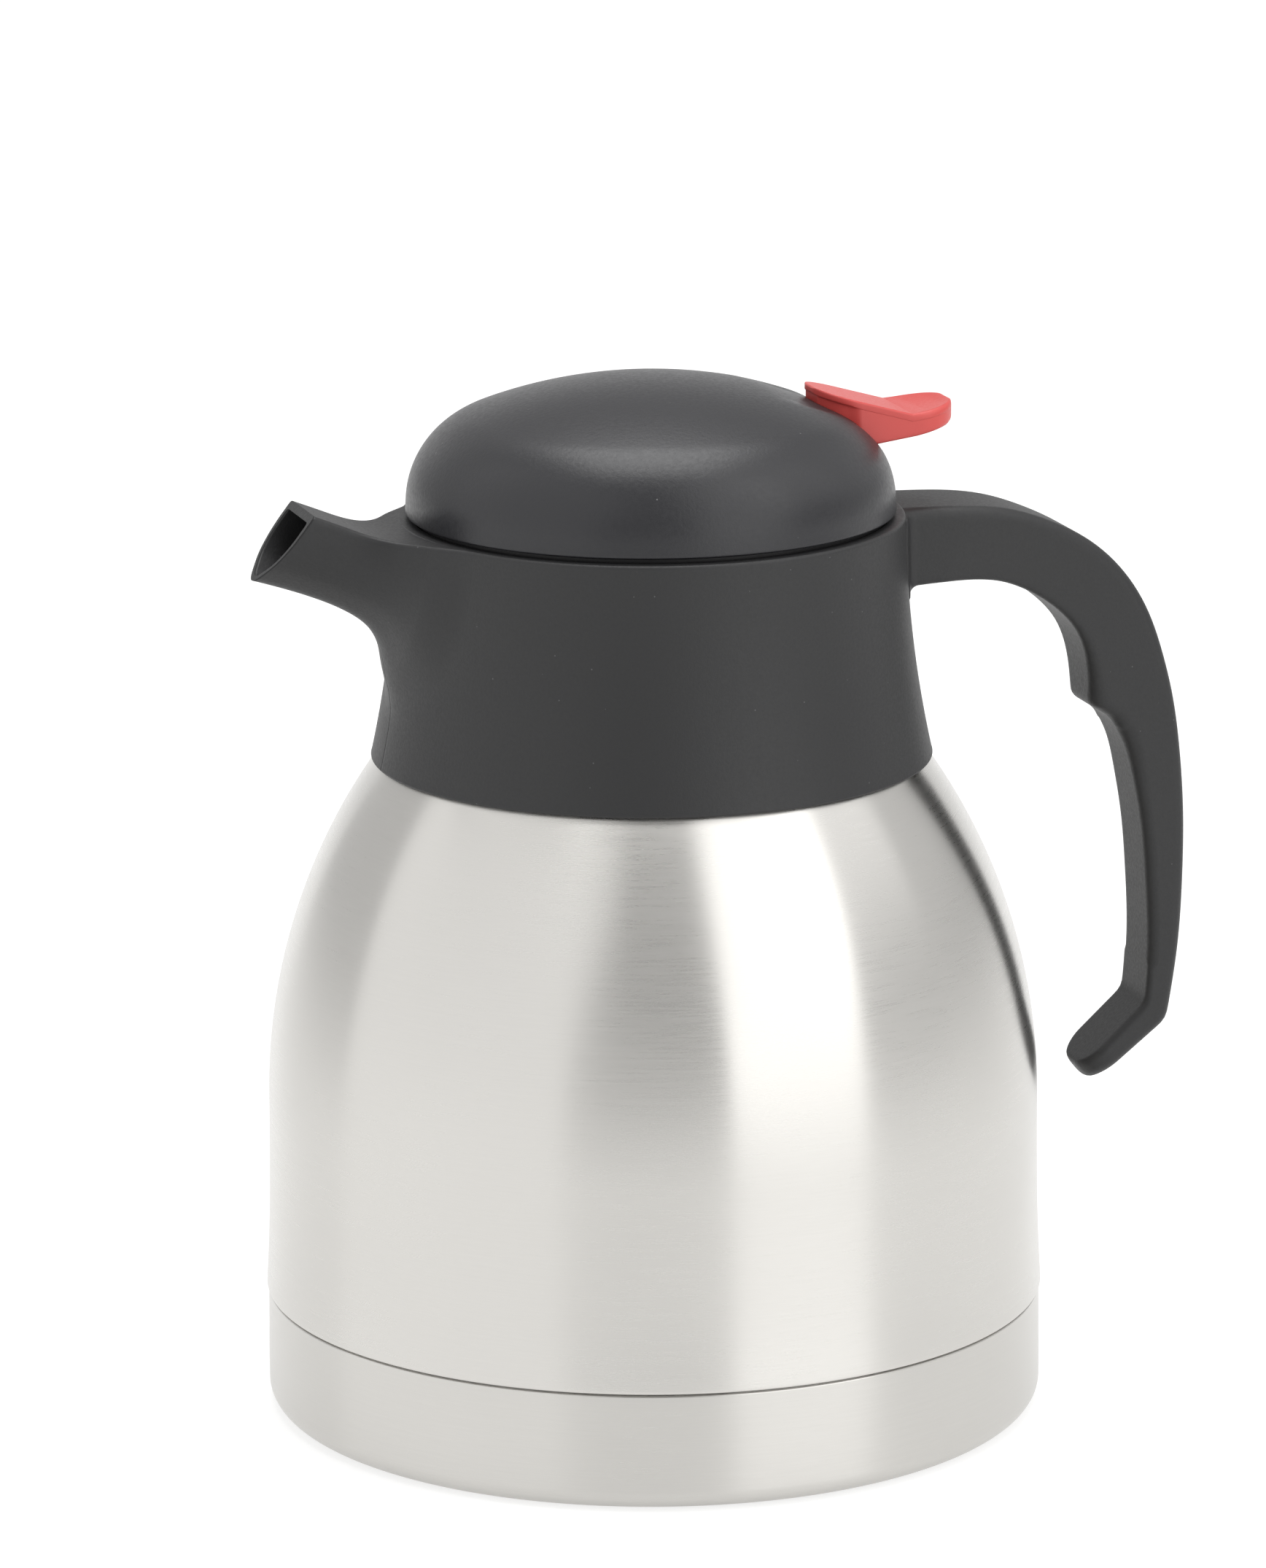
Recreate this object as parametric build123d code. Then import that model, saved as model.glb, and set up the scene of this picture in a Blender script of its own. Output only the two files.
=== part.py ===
"""Thermal carafe: double-wall steel flask, moulded collar with spout and handle, and a
screw-in stopper whose thumb lever lifts a pouring valve.

Millimetres. The origin is on the axis of the flask, on the surface that it stands on.
+Z is up, +X points to the handle and -X to the spout.
"""
import os
from math import atan2, cos, pi, radians, sin, sqrt, tan

from build123d import *

# ---------------------------------------------------------------- driving dimensions
# Base cup
BASE_R = 77.2              # outer radius
BASE_H = 23.2              # height
BASE_EDGE_R = 4.0          # rounding of the bottom edge
BASE_WALL = 0.8            # sheet thickness
BEAD_IN_R = 22.0           # stiffening bead pressed into the underside: inner radius
BEAD_OUT_INSET = 15.2      # its outer radius, inside the cup's own radius
BEAD_DEPTH = 1.5           # how far it is pressed in

# Outer shell
SHELL_WALL = 0.8           # sheet thickness
SEAM_GAP = 0.4             # shadow line between base cup and shell
SHELL_STEP = 0.2           # how far the shell's foot stands out over the base cup
WAIST_H = 38.7             # height of the belly, from the shadow line to the shoulder
SHELL_TAPER = 0.94         # narrowing of the belly over that height
BELLY_SAG = 0.2            # how far the belly line dips inside its chord
SHOULDER_R = 118.0         # radius of the shoulder's arc
NECK_R = 40.6              # outer radius of the neck
NECK_FILLET = 6.0          # rounding from shoulder to neck
NECK_H = 8.48              # straight part of the neck
SKIRT_DEPTH = 13.5         # how far the shell reaches down inside the base cup
SKIRT_CLEAR = 0.15         # between shell skirt and base cup
SNAP_BEAD_R = 0.9          # half-round snap bead rolled into the neck
SNAP_BEAD_DROP = 5.5       # how far that bead lies below the neck's top edge

# Inner flask and vacuum space
VACUUM_GAP = 5.7           # vacuum space between shell and flask
LINER_WALL = 0.8           # sheet thickness
LINER_CORNER_R = 14.0      # rounding between the flask's wall and bottom
NECK_GAP = 0.6             # vacuum space in the neck
RIM_H = 0.8                # rim of the flask, folded over the shell's neck
VACUUM_BASE_DROP = 0.5     # how far the closing disc stands out below the skirt
VACUUM_FLANGE_H = 5.0      # height of its welding flange
FLOOR_GAP = 3.0            # vacuum space under the flask
PLUG_R = 4.5               # brazed plug over the evacuation hole
PLUG_H = 0.9
PLUG_HOLE_R = 1.5
PLUG_CLEAR = 0.05          # between plug stem and hole
GETTER_R = 6.0             # getter tablet
GETTER_H = 2.2
GETTER_X = 32.0
GETTER_EDGE = 0.5

# Collar
COLLAR_ROOM = 9.3          # from the neck to the collar's outer radius at the rim
COLLAR_FLARE = 5.5         # how much wider the lower edge is
COLLAR_MID_FLARE = 1.45    # how much wider the collar is half way up
COLLAR_H = 47.9            # height
RIM_ABOVE_NECK = 21.1      # rim above the neck's top edge
COLLAR_WALL = 2.4
COLLAR_RIM_EDGE = 0.7      # rounding of the rim's outer edge
COLLAR_FOOT_EDGE = 0.45    # rounding of the lower edge
COLLAR_CLEAR = 0.15        # between collar and steel
RIM_W = 3.1                # width of the rim's top
LEDGE_W = 3.4              # ledge inside the rim, which carries the mouth ring
SLEEVE_WALL = 1.8          # wall of the inner sleeve
SLEEVE_DROP = 12.5         # how far the sleeve reaches down below the neck's top edge
CAVITY_DROP = 7.1          # ceiling of the hollow behind the collar's wall, below the rim
SEAM_TURN = 90.0           # where the collar's surface closes on itself, clear of the arm

# Mouth ring, with the thread for the stopper
FLANGE_DROP = 2.1          # top of the ring's flange below the collar's rim
RING_FLANGE_H = 1.6
RING_DROP = 9.5            # lower end of the ring below the neck's top edge
GASKET_H = 1.0             # neck gasket between flask rim and mouth ring
FIT = 0.15                 # general assembly clearance
THREAD_STARTS = 3
THREAD_LEAD = 28.0         # rise per turn
THREAD_SPAN = 90.0         # length of one ridge, degrees
THREAD_DEPTH = 1.8         # how far a ridge stands into the mouth
THREAD_H = 2.2             # height of a ridge
THREAD_DROP = 9.5          # underside of a ridge over a closed lug, below the stopper's flange
THREAD_CLEAR = 0.2         # between lug and ridge
LUG_GAP = 0.3              # between lug and bore
LUG_SPAN = 24.0            # length of one lug, degrees
LUG_ANGLE = 90.0           # direction of the first lug when the lid is closed
LUG_LEAD_IN = 14.0         # ridge start, degrees before the middle of the closed lug

# Spout: stations from the lip to the collar. Each is (top out, top up, keel out, keel up,
# half width), with out measured from the collar's top radius and up from its rim.
SPOUT_STATIONS = (
    (20.4, 5.6, 30.8, -7.9, 8.6),
    (16.4, 4.0, 25.5, -9.6, 8.7),
    (12.3, 2.3, 18.7, -12.1, 9.0),
    (8.4, 0.9, 12.2, -15.2, 9.9),
    (4.9, 0.1, 7.5, -18.9, 11.6),
    (1.9, -0.2, 5.1, -23.6, 14.2),
    (-1.4, -0.3, 4.0, -29.6, 18.0),
    (-5.4, -0.3, 2.7, -35.6, 22.0),
    (-11.9, -0.3, -0.4, -41.6, 24.5),
)
SPOUT_WALL = 2.0
SPOUT_ROOT_R = 1.0         # rounding where the spout meets the collar
CHANNEL_OUTER = 5          # stations of the spout that the channel follows from the lip inwards
CHANNEL_INNER = (          # the channel's own stations inside the collar, without a wall
    (-0.4, -4.1, 0.4, -16.8, 10.0),
    (-5.9, -6.5, -5.7, -17.5, 9.2),
    (-11.9, -7.1, -11.9, -17.6, 9.0),
)
U_SHAPE = (                # the spout's U: share of its depth, share of its half width
    (0.28, 1.0), (0.5, 0.915), (0.7, 0.73), (0.87, 0.43),
)

# Handle in the mid plane, each point (out, up) measured as for the spout
HANDLE_OUTER = (
    (-1.9, -0.3), (11.1, -0.7), (21.1, -1.9), (30.1, -4.9), (39.0, -9.6), (46.7, -16.5),
    (52.2, -25.2), (55.5, -34.3), (57.8, -43.5), (59.4, -54.6), (60.3, -67.1), (60.3, -79.9),
    (59.5, -94.1), (57.1, -110.0),
)
HANDLE_TIP_LOW = (41.4, -122.2)
HANDLE_TIP_TOP = (38.6, -118.5)
HANDLE_INNER_LOW = (       # from the knee up to the finger stop
    (52.2, -106.0), (52.9, -94.1), (52.4, -81.1), (51.3, -69.1), (49.5, -59.1), (47.5, -51.9),
    (44.7, -46.7),
)
HANDLE_INNER_TOP = (       # from the finger stop to the collar
    (40.0, -43.7), (39.5, -36.5), (37.1, -28.7), (33.1, -23.9), (26.9, -19.5), (19.6, -16.5),
    (10.1, -15.6), (-1.9, -16.2),
)
HANDLE_HALF_W = (          # half width at a distance out from the collar
    (-3.9, 10.8), (10.1, 10.7), (20.1, 9.9), (30.1, 8.5), (40.1, 7.8), (64.1, 7.5),
)
HANDLE_EDGE_OUT = 2.2      # rounding of the outer long edges
HANDLE_EDGE_IN = 1.3       # rounding of the inner long edges
HANDLE_TIP_R = 6.4         # rounding of the foot's tip, in plan
HANDLE_ROOT_R = 2.5        # rounding where the arm meets the collar
ROOT_SEARCH = 3.0          # how near the collar's top radius the arm's root edges lie

# Dome of the lid
DOME_INSET = 1.8           # the dome's edge lies this far inside the collar's rim
DOME_GAP = 0.4             # shadow line between flange and dome
DOME_SIDE_H = 2.9          # straight part of the side
DOME_DRAFT = 3.4           # lean of that part, degrees
DOME_SHOULDER_R = 19.0
DOME_CROWN_R = 97.5
DOME_WALL = 2.2
DOME_EDGE_ROUND = 0.4      # rounding of the dome's lower edge
SLOT_CLEAR = 0.3           # between lever and slot
SLOT_UP = 0.4              # lower edge of the slot above the lever's pin

# Stopper
SEAL_SPACE = 1.8           # between stopper and flask neck
STOPPER_H = 29.5           # from its underside to its flange
STOPPER_FLOOR = 2.5
STOPPER_WALL = 3.8
STOPPER_CHAMFER = 1.0      # at the lower edge
FLANGE_CLEAR = 0.6         # between stopper flange and the collar's rim
FLANGE_H = 2.1
SNAP_RIM_H = 3.8           # rim that the dome is pressed on
SNAP_RIM_WALL = 2.0
SNAP_RIM_CLEAR = 0.4       # between snap rim and dome
SEAT_HOLE_R = 10.5         # pouring hole in the stopper's floor
PORT_HALF_W = 8.5          # pouring port in the stopper's wall
PORT_DROP = 6.0            # its upper edge below the flange
PORT_H = 9.5
SEAL_UP = 3.5              # seal groove above the stopper's underside
SEAL_H = 5.0
SEAL_DEPTH = 1.7           # depth of that groove
SEAL_LIP_CLEAR = 0.3       # between seal lip and flask neck, relaxed
SEAL_WAIST = 0.6           # how far the seal's edge lies back behind its body
SEAL_PLAY = 0.1            # between seal and groove
FLANGE_SEAL_H = 0.5        # gap under the flange that the flat ring fills
FLANGE_SEAL_W = 3.6
FLANGE_SEAL_INSET = 2.2    # its outer edge, inside the mouth ring's flange
FLANGE_SEAL_PLAY = 0.05    # under the flat ring, relaxed
DECK_SCREWS = 4
DECK_SCREW_INSET = 3.2     # screw circle inside the chamber's wall
DECK_SCREW_R = 1.4
DECK_SCREW_HEAD_R = 2.8
DECK_SCREW_HEAD_H = 1.7
DECK_SCREW_EDGE = 0.8      # rounding of the head
DECK_SCREW_LENGTH = 9.0
CROSS_HALF_L = 1.5         # cross recess: half length, half width and depth
CROSS_HALF_W = 0.35
CROSS_DEPTH = 0.9
DECK_BOSS_R = 3.5
DECK_BOSS_H = 11.0
GUIDE_R = 5.0              # guide of the valve stem
GUIDE_DOWN = 7.5           # its length below the flange's underside
GUIDE_UP = 6.5             # and above it
STEM_SEAL_R = 4.0
STEM_SEAL_H = 1.8

# Valve
STEM_R = 2.5
STEM_UP = 4.2              # top of the stem above the lever's pin
STEM_CLEAR = 0.05          # running fit of the stem in its guide
RIVET_W = 1.6              # how far the riveted foot stands out
RIVET_H = 1.0
PLUG_DISC_R = 14.0
PLUG_DISC_H = 2.6
SPIGOT_INSET = 0.9         # spigot inside the seat's hole
SPIGOT_DOWN = 1.0          # spigot below the valve seal
VALVE_HUB_H = 3.5
VALVE_SEAL_H = 1.0
VALVE_SEAL_REST = 0.1      # between valve seal and its seat
PRESS_CLEAR = 0.02         # parts pressed on or snapped in
CLIP_R = 5.0
CLIP_H = 1.4
CLIP_GROOVE = 0.5          # depth of the clip's groove
CLIP_PLAY = 0.1            # between clip and fork
SPRING_R = 6.6             # mean radius of the valve spring
SPRING_WIRE_R = 0.5
SPRING_TURNS = 6
SPRING_PLAY = 0.05         # at each end

# Lever, each point (out, up) measured from its pin
PIVOT_INSET = 12.9         # lever's pin inside the collar's outer radius at the rim
PIVOT_UP = 10.2            # pin above the dome's edge
PIN_R = 1.5
PIN_CLEAR = 0.05           # running fit of the lever on its pin
EAR_IN = 9.9               # inner face of the ears that carry the pin
EAR_WALL = 2.5
EAR_EDGE = 0.3             # ear beyond the hub, and pin inside the ear's outer face
TONGUE_TIP = (-5.8, 12.6)
LEVER_CREASE = (14.0, 7.3)
PADDLE_TOP = ((16.6, 7.6), (20.5, 8.2), (24.4, 8.8))
PADDLE_END_TOP = (25.2, 8.0)
PADDLE_UNDER = ((25.2, 5.4), (22.0, 4.2), (15.0, 2.8), (7.0, 1.7))
LEVER_HEEL = ((4.4, 1.4), (3.2, -0.5), (0.0, -2.7), (-2.0, 0.0), (2.5, 2.8))
LEVER_HALF_W = 9.5
LEVER_PLATE = 1.4
WEB_HALF_W = 8.4           # web under the tongue
WEB_INSET = 0.5            # web behind the tongue's tip and under its top
WEB_FOOT = ((3.0, 3.0), (-1.5, 3.0), (-5.3, 7.1))
TONGUE_PLAN_R = 8.0        # rounding of the tongue's front corners
PADDLE_PLAN_R = 8.6        # rounding of the paddle's end corners
HUB_R = 3.2
HUB_HALF_W = 9.2
FORK_BUMP_R = 1.6
FORK_DROP = 0.3            # fork's contact line below the pin
FORK_IN = 3.2
FORK_OUT = 6.4
FORK_ARM_H = 2.4
FORK_ARM_UP = 1.0          # top of the tines above the contact line
FORK_ROOT_X = 9.0          # where the two tines join

CUT = 400.0                # size of a cutting block, larger than the part
SINK = 0.3                 # how far a rib is sunk into the wall that carries it
BEYOND = 1.0               # how far a cut runs past a face
MIDDLE = 5.0               # nearer the mid plane than any long side edge of the handle

# ---------------------------------------------------------------- worked-out values
seam_z = BASE_H + SEAM_GAP
waist_z = seam_z + WAIST_H
shell_foot_r = BASE_R + SHELL_STEP
waist_r = shell_foot_r - SHELL_TAPER
shoulder_cx = waist_r - SHOULDER_R
blend_cr = NECK_R + NECK_FILLET
collar_top_r = NECK_R + COLLAR_ROOM
pivot_x = collar_top_r - PIVOT_INSET
neck_foot_z = waist_z + sqrt((SHOULDER_R + NECK_FILLET) ** 2 - (blend_cr - shoulder_cx) ** 2)
neck_top_z = neck_foot_z + NECK_H
snap_bead_z = neck_top_z - SNAP_BEAD_DROP
skirt_r = BASE_R - BASE_WALL - SKIRT_CLEAR
skirt_low_z = BASE_H - SKIRT_DEPTH
bead_out_r = BASE_R - BEAD_OUT_INSET
liner_r = waist_r - SHELL_WALL - VACUUM_GAP
liner_neck_r = NECK_R - SHELL_WALL - NECK_GAP
liner_neck_in = liner_neck_r - LINER_WALL
vacuum_base_z = skirt_low_z - VACUUM_BASE_DROP
liner_floor_z = vacuum_base_z + SHELL_WALL + FLOOR_GAP
flask_top_z = neck_top_z + RIM_H
rim_z = neck_top_z + RIM_ABOVE_NECK
collar_foot_r = collar_top_r + COLLAR_FLARE
collar_mid_r = collar_top_r + COLLAR_MID_FLARE
collar_foot_z = rim_z - COLLAR_H
cavity_top_z = rim_z - CAVITY_DROP
sleeve_low_z = neck_top_z - SLEEVE_DROP
well_r = collar_top_r - RIM_W
sleeve_r = well_r - LEDGE_W
ring_ledge_z = flask_top_z + GASKET_H
ring_outer_r = sleeve_r - FIT
ring_flange_z = rim_z - FLANGE_DROP
ring_flange_low_z = ring_flange_z - RING_FLANGE_H
ring_low_z = neck_top_z - RING_DROP
mouth_r = liner_neck_r
ridge_in_r = mouth_r - THREAD_DEPTH
lug_r = mouth_r - LUG_GAP
stopper_r = liner_neck_in - SEAL_SPACE
chamber_r = stopper_r - STOPPER_WALL
flange_z = ring_flange_z + FLANGE_SEAL_H
flange_r = well_r - FLANGE_CLEAR
flange_top_z = flange_z + FLANGE_H
stopper_low_z = flange_z - STOPPER_H
seat_z = stopper_low_z + STOPPER_FLOOR
seal_low_z = stopper_low_z + SEAL_UP
seal_top_z = seal_low_z + SEAL_H
seal_in_r = stopper_r - SEAL_DEPTH
thread_z = flange_z - THREAD_DROP
port_top_z = flange_z - PORT_DROP
guide_low_z = flange_z - GUIDE_DOWN
guide_top_z = flange_z + GUIDE_UP
dome_edge_r = collar_top_r - DOME_INSET
dome_edge_z = flange_top_z + DOME_GAP
pivot_z = dome_edge_z + PIVOT_UP
fork_z = pivot_z - FORK_DROP
clip_low_z = fork_z + FORK_BUMP_R + CLIP_PLAY
plug_low_z = seat_z + VALVE_SEAL_REST + VALVE_SEAL_H
plug_top_z = plug_low_z + PLUG_DISC_H
spigot_low_z = plug_low_z - VALVE_SEAL_H - SPIGOT_DOWN
lever_body_x = pivot_x + LEVER_HEEL[-1][0]


def save(name, shape):
    """One STEP file for one node."""
    export_step(shape, f"parts/{name}.step")
    print(f"{name}: {shape.volume / 1000:.2f} cm3, {len(shape.solids())} solid(s)")


def at(r, z):
    """A point of a profile: radius and height."""
    return Vector(r, 0, z)


def by_rim(point):
    """A point given outwards from the collar's top radius and upwards from its rim."""
    return at(collar_top_r + point[0], rim_z + point[1])


def by_pin(point):
    """A point given outwards and upwards from the lever's pin."""
    return at(pivot_x + point[0], pivot_z + point[1])


def path(*points):
    """Straight edges through points given as (radius, height)."""
    ends = [at(*p) for p in points]
    return [Line(a, b) for a, b in zip(ends, ends[1:])]


def lines(*ends):
    """Straight edges through points."""
    return [Line(a, b) for a, b in zip(ends, ends[1:])]


def turned(edges):
    """Solid of revolution about Z from edges that close a profile in the XZ plane."""
    return revolve(Face(Wire(edges)), axis=Axis.Z)


def ring(r_in, r_out, z_low, z_top):
    """Plain ring about Z, or a disc where r_in is 0."""
    return turned(path((r_in, z_low), (r_out, z_low), (r_out, z_top), (r_in, z_top), (r_in, z_low)))


def rod(x, y, r, z_low, z_top):
    """Upright cylinder."""
    return Pos(x, y, z_low) * Cylinder(r, z_top - z_low, align=(Align.CENTER, Align.CENTER, Align.MIN))


def crossbar(x, z, r, half_w):
    """Cylinder along Y, even about the mid plane."""
    return Pos(x, 0, z) * Rot(90, 0, 0) * Cylinder(r, 2 * half_w)


def block(x_low, x_top, y_low, y_top, z_low, z_top):
    """Box between two corners."""
    size = (x_top - x_low, y_top - y_low, z_top - z_low)
    return Pos(x_low, y_low, z_low) * Box(*size, align=(Align.MIN, Align.MIN, Align.MIN))


def slab(edges, half_w):
    """Side view in the XZ plane, given a width that is even about that plane."""
    return extrude(Pos(0, -half_w, 0) * Face(Wire(edges)), amount=2 * half_w, dir=(0, 1, 0))


def arc_about(cr, cz, radius, start, end):
    """Arc about (cr, cz), the short way from the direction of point start to that of point end."""
    a0 = atan2(start[1] - cz, start[0] - cr)
    a1 = atan2(end[1] - cz, end[0] - cr)
    a1 = a0 + (a1 - a0 + pi) % (2 * pi) - pi
    stops = [at(cr + radius * cos(a), cz + radius * sin(a)) for a in (a0, (a0 + a1) / 2, a1)]
    return ThreePointArc(*stops)


def top_circle(shape):
    """Highest circular edge."""
    return shape.edges().filter_by(GeomType.CIRCLE).sort_by(Axis.Z)[-1]


def low_circle(shape):
    """Lowest circular edge."""
    return shape.edges().filter_by(GeomType.CIRCLE).sort_by(Axis.Z)[0]


def shoulder_and_neck(arc_r, neck_r, inset):
    """Edges over a shoulder arc and its blend to the neck's straight part.

    arc_r and neck_r are those of the outer skin, and inset is how far inside it the edges lie.
    Returns the two edges and the height where the straight part of the neck starts.
    """
    centre_r = neck_r + NECK_FILLET
    centre_z = waist_z + sqrt((arc_r + NECK_FILLET) ** 2 - (centre_r - shoulder_cx) ** 2)
    centre = (centre_r, centre_z)
    heart = (shoulder_cx, waist_z)
    waist = (shoulder_cx + arc_r, waist_z)
    shoulder = arc_about(*heart, arc_r - inset, waist, centre)
    blend = arc_about(*centre, NECK_FILLET + inset, heart, (centre_r - 1, centre_z))
    return [shoulder, blend], centre_z


# ---------------------------------------------------------------- steel flask
def base_cup():
    """Pressed cup that closes the bottom and that the carafe stands on."""
    e = BASE_EDGE_R
    w = BASE_WALL
    half = w / 2
    low_in, low_out = BEAD_IN_R, bead_out_r
    top_in, top_out = BEAD_IN_R + BEAD_DEPTH, bead_out_r - BEAD_DEPTH
    outside = [
        *path((0, 0), (low_in, 0), (top_in, BEAD_DEPTH), (top_out, BEAD_DEPTH), (low_out, 0),
              (BASE_R - e, 0)),
        arc_about(BASE_R - e, e, e, (BASE_R - e, 0), (BASE_R, e)),
        *path((BASE_R, e), (BASE_R, BASE_H), (BASE_R - w, BASE_H), (BASE_R - w, e)),
        arc_about(BASE_R - e, e, e - w, (BASE_R, e), (BASE_R - e, 0)),
        *path((BASE_R - e, w), (low_out + half, w), (top_out + half, BEAD_DEPTH + w),
              (top_in - half, BEAD_DEPTH + w), (low_in - half, w), (0, w), (0, 0)),
    ]
    return turned(outside)


def shell_skin(inset):
    """Edges of the shell's skin, from the foot of the skirt to the start of the neck."""
    belly_r = (shell_foot_r + waist_r) / 2 - BELLY_SAG
    belly_z = (seam_z + waist_z) / 2
    shoulder, neck_z = shoulder_and_neck(SHOULDER_R, NECK_R, inset)
    lip_z = seam_z + inset
    edges = [
        *path((skirt_r - inset, skirt_low_z), (skirt_r - inset, lip_z), (shell_foot_r - inset, lip_z)),
        ThreePointArc(at(shell_foot_r - inset, lip_z), at(belly_r - inset, belly_z),
                      at(waist_r - inset, waist_z)),
        *shoulder,
    ]
    return edges, neck_z


def outer_shell():
    """Brushed outer skin: skirt inside the base cup, belly, shoulder and neck."""
    w = SHELL_WALL
    outside, neck_z = shell_skin(0)
    inside, _ = shell_skin(w)
    bead_low, bead_top = snap_bead_z - SNAP_BEAD_R, snap_bead_z + SNAP_BEAD_R
    bead = ThreePointArc(at(NECK_R, bead_low), at(NECK_R + SNAP_BEAD_R, snap_bead_z), at(NECK_R, bead_top))
    neck = [
        *path((NECK_R, neck_z), (NECK_R, bead_low)), bead,
        *path((NECK_R, bead_top), (NECK_R, neck_top_z), (NECK_R - w, neck_top_z), (NECK_R - w, neck_z)),
    ]
    foot = path((skirt_r - w, skirt_low_z), (skirt_r, skirt_low_z))
    return turned([*outside, *neck, *reversed(inside), *foot])


def bead_groove(clear):
    """Torus that cuts the groove for the neck's snap bead."""
    plane = Plane(origin=(NECK_R, 0, snap_bead_z), z_dir=(0, -1, 0))
    return revolve(Face(Wire.make_circle(SNAP_BEAD_R + clear, plane)), axis=Axis.Z)


def shell_envelope(clear):
    """Everything inside the shell's skin, grown by a clearance, to cut the plastic parts with."""
    outside, neck_z = shell_skin(-clear)
    r = NECK_R + clear
    up = path((r, neck_z), (r, flask_top_z), (0, flask_top_z), (0, skirt_low_z),
              (skirt_r + clear, skirt_low_z))
    return turned([*outside, *up])


def liner():
    """Inner flask, with its bottom, shoulder and neck, and the rim folded over the shell."""
    w = LINER_WALL
    corner = (liner_r - LINER_CORNER_R, liner_floor_z + LINER_CORNER_R)
    arc_r = liner_r - shoulder_cx
    skins = []
    for inset in (0, w):
        over, neck_z = shoulder_and_neck(arc_r, liner_neck_r, inset)
        skins.append([
            *path((0, liner_floor_z + inset), (corner[0], liner_floor_z + inset)),
            arc_about(*corner, LINER_CORNER_R - inset, (corner[0], 0), (corner[0] + 1, corner[1])),
            *path((liner_r - inset, corner[1]), (liner_r - inset, waist_z)),
            *over,
        ])
    n = liner_neck_r
    rim = path((n, neck_z), (n, neck_top_z), (NECK_R, neck_top_z), (NECK_R, flask_top_z),
               (n - w, flask_top_z), (n - w, neck_z))
    close = path((0, liner_floor_z + w), (0, liner_floor_z))
    return turned([*skins[0], *rim, *reversed(skins[1]), *close])


def vacuum_base():
    """Disc welded into the shell's foot, which closes the vacuum space."""
    w = SHELL_WALL
    r = skirt_r - w - FIT
    z = vacuum_base_z
    top = z + VACUUM_FLANGE_H
    edges = path((0, z), (r, z), (r, top), (r - w, top), (r - w, z + w), (0, z + w), (0, z))
    return turned(edges) - rod(0, 0, PLUG_HOLE_R, z - w, z + 2 * w)


def evacuation_plug():
    """Plug brazed over the hole that the air was drawn through."""
    z = vacuum_base_z
    stem = rod(0, 0, PLUG_HOLE_R - PLUG_CLEAR, z, z + SHELL_WALL)
    return rod(0, 0, PLUG_R, z - PLUG_H, z) + stem


def getter():
    """Tablet that binds the last gas in the vacuum space."""
    z = vacuum_base_z + SHELL_WALL
    tablet = rod(GETTER_X, 0, GETTER_R, z, z + GETTER_H)
    return fillet(top_circle(tablet), GETTER_EDGE)


# ---------------------------------------------------------------- collar, spout and handle
def collar_line(inset, z_low, z_top):
    """Outer line of the collar moved inwards: an arc from the lower edge to the rim."""
    middle = at(collar_mid_r - inset, (collar_foot_z + rim_z) / 2)
    whole = ThreePointArc(at(collar_foot_r - inset, collar_foot_z), middle, at(collar_top_r - inset, rim_z))
    low = (z_low - collar_foot_z) / COLLAR_H
    top = (z_top - collar_foot_z) / COLLAR_H
    ends = [whole @ low, whole @ ((low + top) / 2), whole @ top]
    return ThreePointArc(*ends), ends[0], ends[-1]


def collar_blank():
    """Solid body of the collar, before the spout, the handle and the hollows."""
    side, foot, rim = collar_line(0, collar_foot_z, rim_z)
    blank = turned([side, *path((rim.X, rim.Z), (0, rim.Z), (0, foot.Z), (foot.X, foot.Z))])
    blank = fillet(top_circle(blank), COLLAR_RIM_EDGE)
    blank = fillet(low_circle(blank), COLLAR_FOOT_EDGE)
    return Rot(0, 0, SEAM_TURN) * blank


def spout_section(station, inset):
    """Flat-topped U between the middle of the top and the keel, moved inwards by inset."""
    out_top, up_top, out_keel, up_keel, half_w = station
    top = at(-collar_top_r - out_top, rim_z + up_top)
    keel = at(-collar_top_r - out_keel, rim_z + up_keel)
    along = (keel - top).normalized()
    top = top + along * inset
    keel = keel - along * inset
    half_w = half_w - inset
    right = [top + (keel - top) * d + Vector(0, half_w * w, 0) for d, w in U_SHAPE]
    left = [Vector(p.X, -p.Y, p.Z) for p in reversed(right)]
    corner_r = top + Vector(0, half_w, 0)
    corner_l = top - Vector(0, half_w, 0)
    side = Spline(corner_r, *right, keel, *left, corner_l, tangents=[along, -along])
    return Face(Wire([Line(corner_l, corner_r), side]))


def spout():
    """Outside of the spout, run well into the collar."""
    return loft([spout_section(s, 0) for s in SPOUT_STATIONS])


def channel():
    """Pouring channel from the stopper's port to the lip."""
    lip, second = SPOUT_STATIONS[0], SPOUT_STATIONS[1]
    past_lip = tuple(2 * a - b for a, b in zip(lip, second))
    outer = [spout_section(s, SPOUT_WALL) for s in (past_lip, *SPOUT_STATIONS[:CHANNEL_OUTER])]
    inner = [spout_section(s, 0) for s in CHANNEL_INNER]
    return loft([*outer, *inner])


def handle_plan():
    """Width of the handle seen from above, drawn as a closed outline."""
    one = [Vector(collar_top_r + out, w, 0) for out, w in HANDLE_HALF_W]
    other = [Vector(p.X, -p.Y, 0) for p in reversed(one)]
    edges = [Spline(*one), Line(one[-1], other[0]), Spline(*other), Line(other[-1], one[0])]
    return Face(Wire(edges))


def long_sides(body):
    """Edges of the handle that lie off the mid plane, the shortest first."""
    return body.edges().filter_by(lambda e: abs(e.center().Y) > MIDDLE).sort_by(SortBy.LENGTH)


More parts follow.
